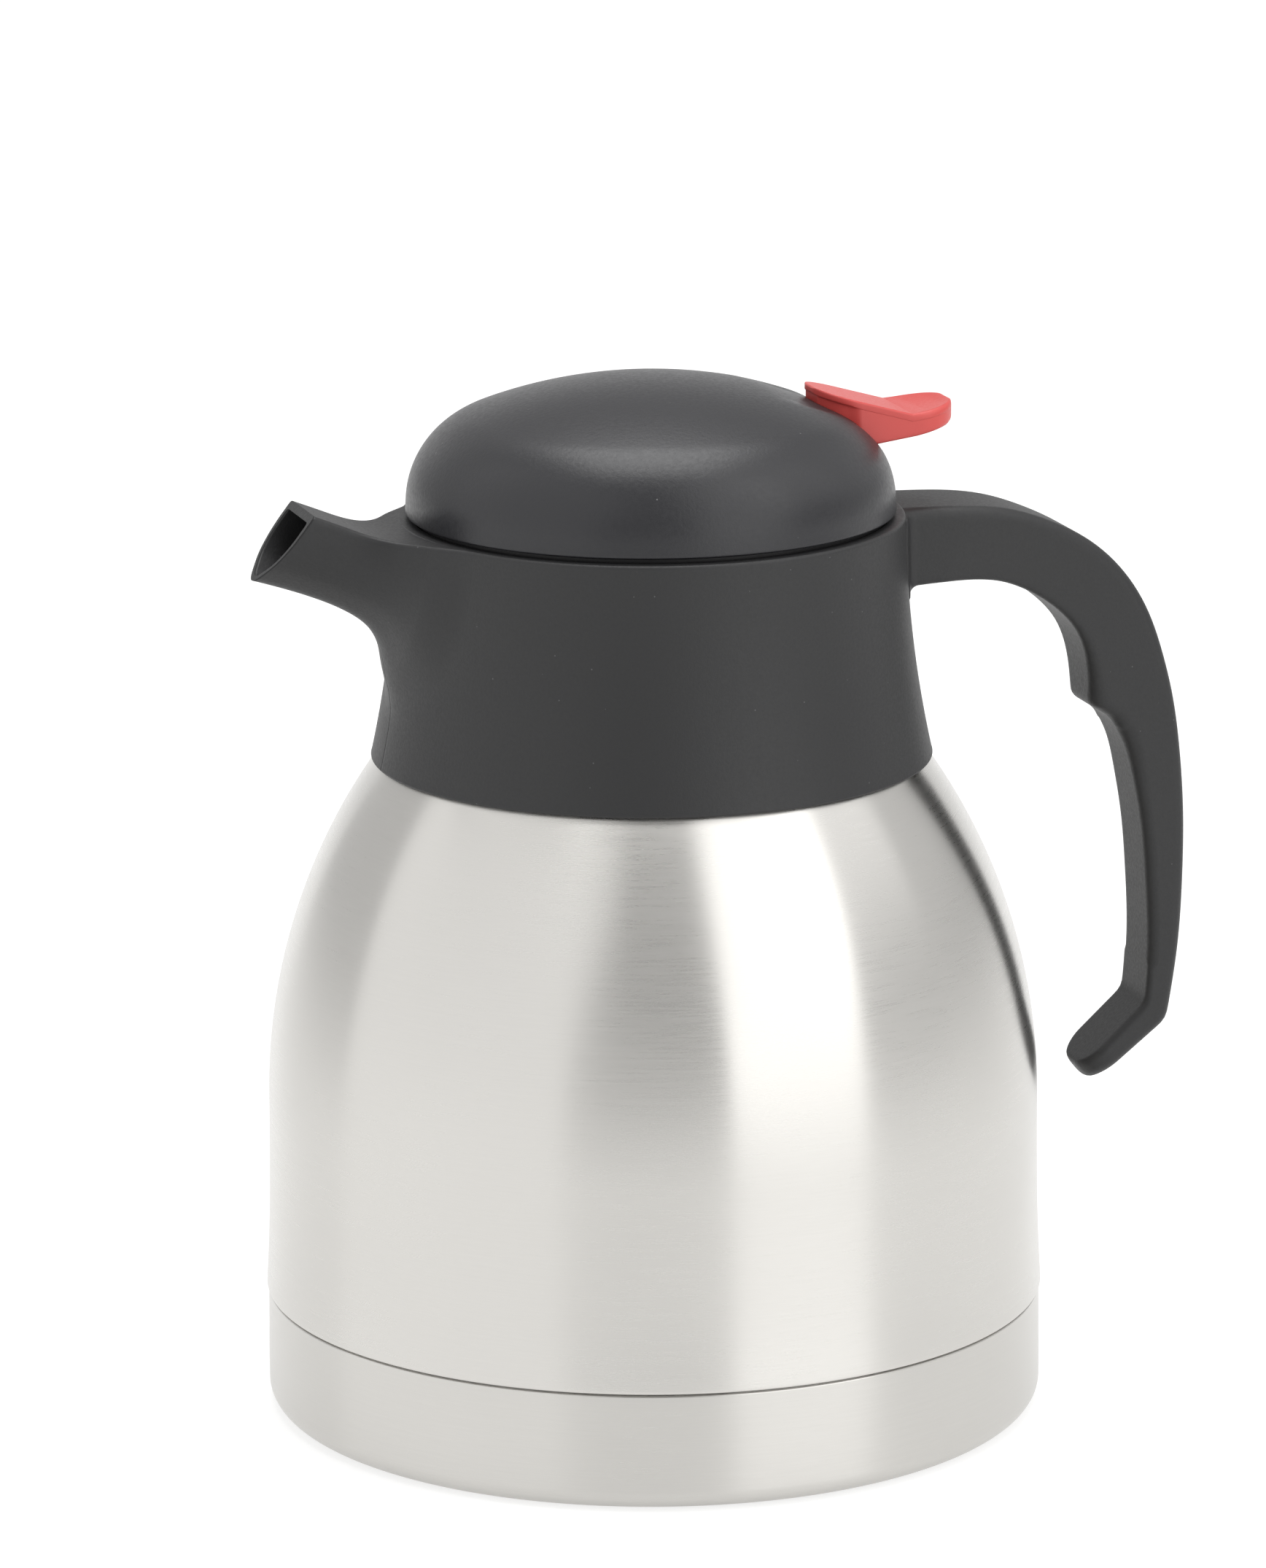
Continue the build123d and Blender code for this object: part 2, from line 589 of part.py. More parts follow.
def handle():
    """Open handle: arm, grip with a finger stop, knee and foot."""
    outer = [by_rim(p) for p in HANDLE_OUTER]
    low = [by_rim(p) for p in HANDLE_INNER_LOW]
    top = [by_rim(p) for p in HANDLE_INNER_TOP]
    tip_low, tip_top = by_rim(HANDLE_TIP_LOW), by_rim(HANDLE_TIP_TOP)
    edges = [
        Spline(*outer), *lines(outer[-1], tip_low, tip_top, low[0]), Spline(*low),
        Line(low[-1], top[0]), Spline(*top), Line(top[-1], outer[0]),
    ]
    body = slab(edges, 2 * HANDLE_HALF_W[0][1]) & extrude(handle_plan(), amount=CUT, dir=(0, 0, 1))
    body = fillet(long_sides(body)[:2], HANDLE_TIP_R)
    inners = long_sides(body)[-6:-2]
    body = fillet(inners, HANDLE_EDGE_IN)
    outers = long_sides(body)[-2:]
    return fillet(outers, HANDLE_EDGE_OUT)


def collar_hollow():
    """Space between the collar's wall and its inner sleeve, open below."""
    low_z = collar_foot_z - BEYOND
    side, foot, top = collar_line(COLLAR_WALL, low_z, cavity_top_z)
    r = sleeve_r + SLEEVE_WALL
    hollow = turned([side, *path((top.X, top.Z), (r, top.Z), (r, foot.Z), (foot.X, foot.Z))])
    half_w = CHANNEL_INNER[0][4] + SPOUT_WALL
    floor_z = rim_z + CHANNEL_INNER[-1][3] - SPOUT_WALL
    keep = block(-CUT, 0, -half_w, half_w, floor_z, CUT)
    return hollow - keep


def arm_root(body):
    """Edges where the handle's arm meets the collar's side."""
    low_z = rim_z + HANDLE_INNER_TOP[-1][1] - ROOT_SEARCH
    top_z = rim_z - COLLAR_RIM_EDGE
    half_w = HANDLE_HALF_W[0][1] + BEYOND

    def near(edge):
        c = edge.center()
        return abs(c.X - collar_top_r) < ROOT_SEARCH and abs(c.Y) < half_w and low_z < c.Z < top_z

    return body.edges().filter_by(near)


def collar():
    """Moulded collar with the spout and the handle in one piece."""
    body = collar_blank() + spout()
    crease = body.edges().filter_by(lambda e: e.center().X < -collar_top_r).sort_by(SortBy.LENGTH)[-1]
    body = fillet(crease, SPOUT_ROOT_R) + handle()
    body = fillet(arm_root(body), HANDLE_ROOT_R) - channel()
    below_z = collar_foot_z - BEYOND
    above_z = rim_z + BEYOND
    body = body - ring(0, sleeve_r, below_z, above_z)
    body = body - ring(0, sleeve_r + SLEEVE_WALL + SINK, below_z, sleeve_low_z)
    body = body - ring(0, well_r, ring_flange_low_z, above_z)
    body = body - collar_hollow()
    return body - shell_envelope(COLLAR_CLEAR)


# ---------------------------------------------------------------- mouth ring and gaskets
def helical_bar(r_in, r_out, height, z_mid, angle, span):
    """Bar of oblong section that climbs with the thread, centred on angle and z_mid."""
    rise = THREAD_LEAD * span / 360
    line = Helix(pitch=THREAD_LEAD, height=rise, radius=(r_in + r_out) / 2)
    start = Plane(origin=line @ 0, x_dir=(1, 0, 0), z_dir=line % 0)
    bar = sweep(start * Rectangle(r_out - r_in, height), path=line, is_frenet=True)
    return Rot(0, 0, angle - span / 2) * (Pos(0, 0, z_mid - rise / 2) * bar)


def lug_angles():
    """Directions of the stopper's lugs when the lid is closed."""
    return [LUG_ANGLE + 360 / THREAD_STARTS * k for k in range(THREAD_STARTS)]


def mouth_ring():
    """Inner ring of the mouth, with the thread ridges, the port and the snap groove."""
    edges = path(
        (mouth_r, ring_ledge_z), (mouth_r, ring_flange_z), (well_r - FIT, ring_flange_z),
        (well_r - FIT, ring_flange_low_z), (ring_outer_r, ring_flange_low_z),
        (ring_outer_r, ring_low_z), (NECK_R + FIT, ring_low_z), (NECK_R + FIT, ring_ledge_z),
        (mouth_r, ring_ledge_z),
    )
    body = turned(edges) - channel() - bead_groove(FIT)
    for angle in lug_angles():
        middle = angle - LUG_LEAD_IN + THREAD_SPAN / 2
        z_mid = thread_z + THREAD_H / 2 + THREAD_LEAD * (middle - angle) / 360
        body = body + helical_bar(ridge_in_r, mouth_r + SINK, THREAD_H, z_mid, middle, THREAD_SPAN)
    return body


def neck_gasket():
    """Flat silicone ring between the flask's rim and the mouth ring."""
    return ring(mouth_r + FIT, NECK_R, flask_top_z, ring_ledge_z)


# ---------------------------------------------------------------- lid
def dome_skin(inset):
    """Side, shoulder and crown of the dome's skin, moved inwards by inset."""
    lean = radians(DOME_DRAFT)
    side_top = (dome_edge_r - DOME_SIDE_H * tan(lean), dome_edge_z + DOME_SIDE_H)
    centre_r = side_top[0] - DOME_SHOULDER_R * cos(lean)
    centre_z = side_top[1] - DOME_SHOULDER_R * sin(lean)
    crown_z = centre_z - sqrt((DOME_CROWN_R - DOME_SHOULDER_R) ** 2 - centre_r ** 2)
    turn = atan2(centre_z - crown_z, centre_r)
    start = (centre_r + cos(lean), centre_z + sin(lean))
    end = (centre_r + cos(turn), centre_z + sin(turn))
    shoulder = arc_about(centre_r, centre_z, DOME_SHOULDER_R - inset, start, end)
    crown = arc_about(0, crown_z, DOME_CROWN_R - inset, (centre_r, centre_z), (0, crown_z + 1))
    foot = at(dome_edge_r - inset / cos(lean), dome_edge_z)
    return [Line(foot, shoulder @ 0), shoulder, crown], crown @ 1


def dome_solid(inset):
    """Everything inside the dome's skin, moved inwards by inset."""
    skin, apex = dome_skin(inset)
    foot = skin[0] @ 0
    return turned([*skin, *path((0, apex.Z), (0, foot.Z), (foot.X, foot.Z))])


def lid_dome():
    """Domed cover of the lid, with the lever's slot and the two ears that hold its pin."""
    outside = dome_solid(0)
    body = fillet(low_circle(outside), DOME_EDGE_ROUND) - dome_solid(DOME_WALL)
    inside = dome_solid(DOME_WALL - SINK)
    half_l = HUB_R + EAR_EDGE
    for y in (-EAR_IN - EAR_WALL, EAR_IN):
        ear = block(pivot_x - half_l, pivot_x + half_l, y, y + EAR_WALL, pivot_z - HUB_R, CUT)
        body = body + (ear & inside)
    wide = LEVER_HALF_W + SLOT_CLEAR
    narrow = WEB_HALF_W + SLOT_CLEAR
    slot_z = pivot_z + SLOT_UP
    body = body - block(pivot_x + TONGUE_TIP[0] - SLOT_CLEAR, CUT, -narrow, narrow, slot_z, CUT)
    body = body - block(lever_body_x - SLOT_CLEAR, CUT, -wide, wide, slot_z, CUT)
    return body - crossbar(pivot_x, pivot_z, PIN_R + PRESS_CLEAR, EAR_IN + EAR_WALL)


def stopper_body():
    """Stopper: chamber with valve seat and port, lugs, seal groove, flange and snap rim."""
    c = STOPPER_CHAMFER
    rim_r = dome_edge_r - DOME_WALL - SNAP_RIM_CLEAR
    rim_in = rim_r - SNAP_RIM_WALL
    rim_top_z = flange_top_z + SNAP_RIM_H
    edges = path(
        (SEAT_HOLE_R, stopper_low_z), (stopper_r - c, stopper_low_z), (stopper_r, stopper_low_z + c),
        (stopper_r, seal_low_z), (seal_in_r, seal_low_z), (seal_in_r, seal_top_z), (stopper_r, seal_top_z),
        (stopper_r, flange_z), (flange_r, flange_z), (flange_r, flange_top_z), (rim_r, flange_top_z),
        (rim_r, rim_top_z), (rim_in, rim_top_z), (rim_in, flange_top_z), (chamber_r, flange_top_z),
        (chamber_r, seat_z), (SEAT_HOLE_R, seat_z), (SEAT_HOLE_R, stopper_low_z),
    )
    body = turned(edges)
    lug_z = thread_z - THREAD_CLEAR - THREAD_H / 2
    for angle in lug_angles():
        body = body + helical_bar(stopper_r - SINK, lug_r, THREAD_H, lug_z, angle, LUG_SPAN)
    for x, y in screw_places():
        body = body + rod(x, y, DECK_BOSS_R, flange_z - DECK_BOSS_H, flange_z)
    for x, y in screw_places():
        body = body - rod(x, y, DECK_SCREW_R + FIT, flange_top_z - DECK_SCREW_LENGTH - FIT, flange_top_z)
    port = block(-mouth_r, -chamber_r / 2, -PORT_HALF_W, PORT_HALF_W, port_top_z - PORT_H, port_top_z)
    return body - port


def screw_places():
    """Where the deck's screws stand, between the port and the sides."""
    step = 2 * pi / DECK_SCREWS
    angles = [step / 2 + step * k for k in range(DECK_SCREWS)]
    r = chamber_r - DECK_SCREW_INSET
    return [(r * cos(a), r * sin(a)) for a in angles]


def stopper_deck():
    """Deck that closes the chamber and guides the valve stem."""
    plate = ring(0, chamber_r - FIT, flange_z, flange_top_z)
    body = plate + rod(0, 0, GUIDE_R, guide_low_z, guide_top_z)
    body = body - rod(0, 0, STEM_R + STEM_CLEAR, guide_low_z, guide_top_z)
    body = body - rod(0, 0, STEM_SEAL_R, guide_low_z, guide_low_z + STEM_SEAL_H)
    for x, y in screw_places():
        body = body - rod(x, y, DECK_SCREW_R + FIT, flange_z, flange_top_z)
    return body


def deck_screws():
    """Pan-head screws that hold the deck, each with a cross recess."""
    screws = []
    top_z = flange_top_z + DECK_SCREW_HEAD_H
    for x, y in screw_places():
        shank = rod(x, y, DECK_SCREW_R, flange_top_z - DECK_SCREW_LENGTH, flange_top_z)
        head = rod(x, y, DECK_SCREW_HEAD_R, flange_top_z, top_z)
        head = fillet(top_circle(head), DECK_SCREW_EDGE)
        low_z = top_z - CROSS_DEPTH
        cross = block(x - CROSS_HALF_L, x + CROSS_HALF_L, y - CROSS_HALF_W, y + CROSS_HALF_W, low_z, top_z)
        cross += block(x - CROSS_HALF_W, x + CROSS_HALF_W, y - CROSS_HALF_L, y + CROSS_HALF_L, low_z, top_z)
        screws.append(shank + head - cross)
    return Compound(screws)


def flange_seal():
    """Flat ring under the stopper's flange."""
    outer = well_r - FLANGE_SEAL_INSET
    return ring(outer - FLANGE_SEAL_W, outer, ring_flange_z + FLANGE_SEAL_PLAY, flange_z)


def stem_seal():
    """Ring that wipes the valve stem below the guide."""
    return ring(STEM_R + STEM_CLEAR, STEM_SEAL_R - PRESS_CLEAR, guide_low_z, guide_low_z + STEM_SEAL_H)


def stopper_seal():
    """Silicone seal in the stopper's groove, with two lips towards the flask's neck."""
    inner = seal_in_r + SEAL_PLAY
    lip = liner_neck_in - SEAL_LIP_CLEAR
    low = seal_low_z + SEAL_PLAY
    top = seal_top_z - SEAL_PLAY
    step = (top - low) / 8
    edges = path(
        (inner, low), (stopper_r - SEAL_WAIST, low), (lip, low + 2 * step), (lip, low + 3 * step),
        (stopper_r, low + 4 * step), (stopper_r, low + 5 * step), (lip, low + 6 * step),
        (lip, low + 7 * step), (stopper_r - SEAL_WAIST, top), (inner, top), (inner, low),
    )
    return turned(edges)


def lever_pin():
    """Steel pin that the lever turns on."""
    return crossbar(pivot_x, pivot_z, PIN_R, EAR_IN + EAR_WALL - EAR_EDGE)


# ---------------------------------------------------------------- valve
def valve_stem():
    """Rod of the valve, with a riveted foot and a groove for the clip."""
    body = rod(0, 0, STEM_R, spigot_low_z, pivot_z + STEM_UP)
    body = body + rod(0, 0, STEM_R + RIVET_W, spigot_low_z - RIVET_H, spigot_low_z)
    return body - ring(STEM_R - CLIP_GROOVE, CLIP_R, clip_low_z, clip_low_z + CLIP_H)


def valve_plug():
    """Disc that closes the seat, with a spigot for its seal and a hub for the spring."""
    top_z = plug_top_z + VALVE_HUB_H
    body = ring(0, PLUG_DISC_R, plug_low_z, plug_top_z)
    body = body + rod(0, 0, SEAT_HOLE_R - SPIGOT_INSET, spigot_low_z, plug_low_z)
    body = body + rod(0, 0, GUIDE_R, plug_top_z, top_z)
    return body - rod(0, 0, STEM_R + PRESS_CLEAR, spigot_low_z, top_z)


def valve_seal():
    """Flat silicone washer under the valve plug."""
    inner = SEAT_HOLE_R - SPIGOT_INSET + SEAL_PLAY
    return ring(inner, PLUG_DISC_R - SEAL_LIP_CLEAR, plug_low_z - VALVE_SEAL_H, plug_low_z)


def stem_clip():
    """Clip that the lever's fork lifts the stem by."""
    inner = STEM_R - CLIP_GROOVE + PRESS_CLEAR
    return ring(inner, CLIP_R, clip_low_z + PRESS_CLEAR, clip_low_z + CLIP_H - PRESS_CLEAR)


def valve_spring():
    """Compression spring that holds the valve on its seat."""
    low = plug_top_z + SPRING_WIRE_R + SPRING_PLAY
    top = flange_z - SPRING_WIRE_R - SPRING_PLAY
    line = Helix(pitch=(top - low) / SPRING_TURNS, height=top - low, radius=SPRING_R)
    start = Plane(origin=line @ 0, x_dir=(1, 0, 0), z_dir=line % 0)
    return Pos(0, 0, low) * sweep(start * Circle(SPRING_WIRE_R), path=line, is_frenet=True)


# ---------------------------------------------------------------- lever
def thumb_plan():
    """Outline of the tongue and the paddle seen from above, with rounded corners."""
    x_low, x_top, w = by_pin(TONGUE_TIP).X, by_pin(PADDLE_END_TOP).X, LEVER_HALF_W
    bulge = 1 - sqrt(0.5)
    arcs = []
    for x, r in ((x_low, TONGUE_PLAN_R), (x_top, -PADDLE_PLAN_R)):
        for side in (-1, 1):
            across = Vector(x, side * (w - abs(r)), 0)
            bend = Vector(x + r * bulge, side * (w - abs(r) * bulge), 0)
            along = Vector(x + r, side * w, 0)
            arcs.append(ThreePointArc(across, bend, along))
    front_low, front_top, end_low, end_top = arcs
    ends = [Line(front_low @ 0, front_top @ 0), Line(end_low @ 0, end_top @ 0)]
    sides = [Line(front_low @ 1, end_low @ 1), Line(front_top @ 1, end_top @ 1)]
    return Face(Wire([*arcs, *ends, *sides]))


def lever():
    """Thumb lever: sloping tongue, paddle, web through the slot, hub, and fork at the stem."""
    tip, crease = by_pin(TONGUE_TIP), by_pin(LEVER_CREASE)
    slope = (crease - tip) * (1 / (crease - tip).X)

    def on_top(x):
        """Point of the tongue's sloping top."""
        return tip + slope * (x - tip.X)

    drop = Vector(0, 0, -LEVER_PLATE)
    plate = slab(lines(tip, crease, crease + drop, tip + drop, tip), LEVER_HALF_W)
    paddle_top = [crease, *[by_pin(p) for p in PADDLE_TOP]]
    under = [by_pin(p) for p in (PADDLE_END_TOP, *PADDLE_UNDER, *LEVER_HEEL)]
    start = on_top(lever_body_x)
    edges = [Line(start, crease), Spline(*paddle_top), *lines(paddle_top[-1], *under, start)]
    thumb = (plate + slab(edges, LEVER_HALF_W)) & extrude(thumb_plan(), amount=CUT, dir=(0, 0, 1))

    inset = Vector(0, 0, -WEB_INSET)
    foot = [by_pin(p) for p in WEB_FOOT]
    front = on_top(foot[-1].X) + inset
    back = on_top(foot[0].X) + inset
    web = slab(lines(front, back, *foot, front), WEB_HALF_W)
    hub = crossbar(pivot_x, pivot_z, HUB_R, HUB_HALF_W)
    arm_z = fork_z + FORK_ARM_UP
    arm = block(0, pivot_x, -FORK_OUT, FORK_OUT, arm_z - FORK_ARM_H, arm_z)
    bump = crossbar(0, fork_z, FORK_BUMP_R, FORK_OUT)
    gap = block(-FORK_OUT, FORK_ROOT_X, -FORK_IN, FORK_IN, fork_z - FORK_OUT, fork_z + FORK_OUT)
    whole = thumb + web + hub + arm + bump - gap
    return whole - crossbar(pivot_x, pivot_z, PIN_R + PIN_CLEAR, LEVER_HALF_W)


NODES = {
    "base_cup": base_cup, "outer_shell": outer_shell, "liner": liner, "vacuum_base": vacuum_base,
    "evacuation_plug": evacuation_plug, "getter": getter, "collar": collar, "mouth_ring": mouth_ring,
    "neck_gasket": neck_gasket, "lid_dome": lid_dome, "stopper_body": stopper_body,
    "stopper_deck": stopper_deck, "deck_screws": deck_screws, "flange_seal": flange_seal,
    "stem_seal": stem_seal, "stopper_seal": stopper_seal, "lever_pin": lever_pin, "lever": lever,
    "valve_stem": valve_stem, "valve_plug": valve_plug, "valve_seal": valve_seal,
    "stem_clip": stem_clip, "valve_spring": valve_spring,
}

if __name__ == "__main__":
    os.makedirs("parts", exist_ok=True)
    for name, make in NODES.items():
        save(name, make())
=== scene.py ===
# %% [markdown]
# # A thermal carafe with a screw-in lid and a red thumb lever
# The rigid parts come from the CAD model and stay where it puts them. This file dresses them: it
# gives each part the finish of the real material, and it makes again, with finer edges and smoother
# skins, the parts that the eye rests on: the steel shell, the base, the collar with its spout and
# handle, the domed lid and the lever.

# %% Load the frame
import math
import bpy
import numpy as np
from mathutils import Euler, Matrix, Vector


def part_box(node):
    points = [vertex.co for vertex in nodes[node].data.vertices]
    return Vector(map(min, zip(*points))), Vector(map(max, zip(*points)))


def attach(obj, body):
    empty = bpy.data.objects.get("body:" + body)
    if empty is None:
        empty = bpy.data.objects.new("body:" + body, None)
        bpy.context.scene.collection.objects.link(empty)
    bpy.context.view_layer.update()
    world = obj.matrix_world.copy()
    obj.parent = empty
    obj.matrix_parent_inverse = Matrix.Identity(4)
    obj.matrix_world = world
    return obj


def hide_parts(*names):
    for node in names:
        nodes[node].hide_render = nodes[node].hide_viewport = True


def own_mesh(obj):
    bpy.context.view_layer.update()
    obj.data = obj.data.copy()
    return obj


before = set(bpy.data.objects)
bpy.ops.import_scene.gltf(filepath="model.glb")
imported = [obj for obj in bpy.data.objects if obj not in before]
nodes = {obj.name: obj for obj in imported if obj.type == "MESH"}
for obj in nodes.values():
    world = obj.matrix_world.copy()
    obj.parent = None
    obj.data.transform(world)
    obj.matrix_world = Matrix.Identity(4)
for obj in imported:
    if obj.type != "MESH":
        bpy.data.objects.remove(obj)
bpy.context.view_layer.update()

scene = bpy.context.scene

# %% [markdown]
# ## The camera
# A carafe like this is shot from far away with a long lens, so that its sides stay nearly parallel.
# The camera stands 1.43 m from the axis, 17 degrees round to the left of the front, a little under
# half a metre up, and looks down by 13.6 degrees.

# %% Put up the camera
CAMERA_FAR = 1.431155
CAMERA_HIGH = 0.47204
CAMERA_ROUND = math.radians(17.3)
LOOKS_DOWN = 0.2381
SWINGS = -0.0026
LEANS = -0.0045
SENSOR_HIGH = 36.0
FOCAL_PIXELS, PICTURE_PIXELS = 10230.66, 2150.0

camera_data = bpy.data.cameras.new("camera")
camera_data.sensor_fit = "VERTICAL"
camera_data.sensor_height = SENSOR_HIGH
camera_data.lens = SENSOR_HIGH * FOCAL_PIXELS / PICTURE_PIXELS
camera_data.clip_start = 0.1
camera_data.clip_end = 20.0
camera = bpy.data.objects.new("camera", camera_data)
scene.collection.objects.link(camera)
scene.camera = camera

forward = Vector((math.sin(SWINGS) * math.cos(LOOKS_DOWN),
                  math.cos(SWINGS) * math.cos(LOOKS_DOWN),
                  -math.sin(LOOKS_DOWN)))
right = Vector((math.cos(SWINGS), -math.sin(SWINGS), 0.0))
up = right.cross(forward)
leaned_right = math.cos(LEANS) * right + math.sin(LEANS) * up
leaned_up = math.cos(LEANS) * up - math.sin(LEANS) * right
turn = Matrix((leaned_right, leaned_up, -forward)).transposed()
round_the_object = Euler((0.0, 0.0, -CAMERA_ROUND)).to_matrix()
stand = round_the_object @ Vector((0.0, -CAMERA_FAR, CAMERA_HIGH))
camera.matrix_world = Matrix.Translation(stand) @ (round_the_object @ turn).to_4x4()
print("camera at", [round(v, 4) for v in stand], "lens", round(camera_data.lens, 1), "mm")

# %% [markdown]
# ## Colours and nodes
# Colours are written as the hex codes that a colour picker shows, and Blender wants linear light,
# so one function turns them. Another adds a shader or geometry node with its settings and ties its
# inputs, which keeps each recipe below readable from top to bottom.

# %% Helpers for colours and nodes
def linear(code):
    """An sRGB hex colour as linear red, green, blue and a full alpha."""
    shares = [int(code[i:i + 2], 16) / 255.0 for i in (1, 3, 5)]
    light = [s / 12.92 if s <= 0.04045 else ((s + 0.055) / 1.055) ** 2.4 for s in shares]
    return (*light, 1.0)


def tie(node, inputs):
    """Gives each input of a node its number or colour, or links it. A node given as the value
    stands for its first output."""
    for key, value in inputs.items():
        if isinstance(value, bpy.types.Node):
            value = value.outputs[0]
        if isinstance(value, bpy.types.NodeSocket):
            node.id_data.links.new(value, node.inputs[key])
        else:
            node.inputs[key].default_value = value


def add(tree, kind, inputs=None, **settings):
    """Adds a node with its settings and ties its inputs."""
    node = tree.nodes.new(kind)
    for name, value in settings.items():
        setattr(node, name, value)
    tie(node, inputs or {})
    return node


def finish_named(name):
    """A new material with its node tree and its Principled shader."""
    finish = bpy.data.materials.new(name)
    finish.use_nodes = True
    return finish, finish.node_tree, finish.node_tree.nodes["Principled BSDF"]


def led_by(tree, noise, shade, tint, rough, swing, rough_noise=None):
    """A colour between shade and tint and a roughness within swing of rough, led by a noise."""
    tone = add(tree, "ShaderNodeMix", {"Factor": noise, 6: linear(shade), 7: linear(tint)},
               data_type="RGBA")
    dull = add(tree, "ShaderNodeMapRange", {"Value": rough_noise or noise, "From Min": 0.3,
                                            "From Max": 0.7, "To Min": rough - swing,
                                            "To Max": rough + swing})
    return tone.outputs[2], dull


MM = 0.001
print("mid grey is", [round(v, 3) for v in linear("#808080")])

# %% [markdown]
# ## Floor and studio light
# The carafe stands on a pale, evenly lit table that runs out of sight behind it, so there is no
# horizon. A white room gives the even part of the light, and soft boxes shape the steel: polished
# metal shows nothing but its surroundings, so each box is one band on the belly.

# %% Floor and room
FLOOR_R, FLOOR_CORNERS = 12.0, 96
FLOOR_GLOW, ROOM_GLOW = 0.68, 0.47
WHITE = linear("#FFFFFF")

floor_paint, _, paint = finish_named("lit table, white acrylic")
tie(paint, {"Base Color": linear("#A0A09F"), "Roughness": 0.6, "Emission Color": WHITE,
            "Emission Strength": FLOOR_GLOW})
floor_mesh = bpy.data.meshes.new("floor")
rim_turns = [math.tau * i / FLOOR_CORNERS for i in range(FLOOR_CORNERS)]
rim_points = [(FLOOR_R * math.cos(a), FLOOR_R * math.sin(a), 0.0) for a in rim_turns]
floor_mesh.from_pydata(rim_points, [], [list(range(FLOOR_CORNERS))])
floor_mesh.materials.append(floor_paint)
floor = bpy.data.objects.new("floor", floor_mesh)
scene.collection.objects.link(floor)

room = bpy.data.worlds.new("white room")
room.use_nodes = True
tie(room.node_tree.nodes["Background"], {"Color": WHITE, "Strength": ROOM_GLOW})
scene.world = room
scene.view_settings.view_transform = "Standard"
print("floor", FLOOR_R, "m in radius")

# %% Soft boxes
AIM = Vector((0.0, 0.0, 0.11))


def soft_box(name, round_right, up_angle, far, wide, high, glow, lean=0.0):
    """A rectangular lamp that faces the carafe, round_right degrees to the camera's right hand and
    up_angle degrees up. far, wide and high are metres. lean tips its top to the right, in degrees."""
    away = -CAMERA_ROUND - math.radians(90.0) + math.radians(round_right)
    tilt = math.radians(up_angle)
    place = AIM + far * Vector((math.cos(tilt) * math.cos(away), math.cos(tilt) * math.sin(away),
                                math.sin(tilt)))
    lamp = bpy.data.lights.new(name, "AREA")
    lamp.shape = "RECTANGLE"
    lamp.size = wide
    lamp.size_y = high
    lamp.energy = glow * wide * high * math.pi
    holder = bpy.data.objects.new(name, lamp)
    scene.collection.objects.link(holder)
    facing = (AIM - place).to_track_quat("-Z", "Y").to_matrix().to_4x4()
    leaning = Matrix.Rotation(-math.radians(lean), 4, "Z")
    holder.matrix_world = Matrix.Translation(place) @ facing @ leaning


soft_box("soft box on the left", -64.0, 28.0, 2.2, 3.75, 2.75, 0.63)
soft_box("soft box behind left", -127.0, 38.0, 2.2, 1.9, 2.75, 0.22)
soft_box("bright soft box on the right", 46.3, 25.0, 2.0, 1.62, 2.9, 1.35, lean=8.0)
soft_box("soft box far right", 85.0, 45.0, 2.4, 1.7, 2.4, 0.78)
soft_box("soft box behind right", 120.0, 32.0, 2.2, 1.5, 1.8, 0.36)
soft_box("soft box behind", 180.0, 10.0, 2.6, 3.4, 1.0, 0.38)
soft_box("soft box overhead", 180.0, 81.0, 2.2, 1.45, 1.75, 3.9)
print("seven soft boxes")

# %% [markdown]
# ## Brushed stainless steel
# The shell and the base are drawn from stainless sheet and then brushed while they turn, so the
# scratches run round the axis. Such a surface smears every reflection across the scratches, that is
# up and down, and hardly at all along them. The shader's anisotropy does that, with the tangent laid
# round the axis. Scratches a tenth of a millimetre apart are too fine for the picture, so a coarser
# set, four tenths of a millimetre apart, is laid over them.

# %% Brushed stainless steel
STREAK = 0.0004
STREAKS_ROUND = 6.0
STREAK_SWING, WEAR_SWING = 0.03, 0.015


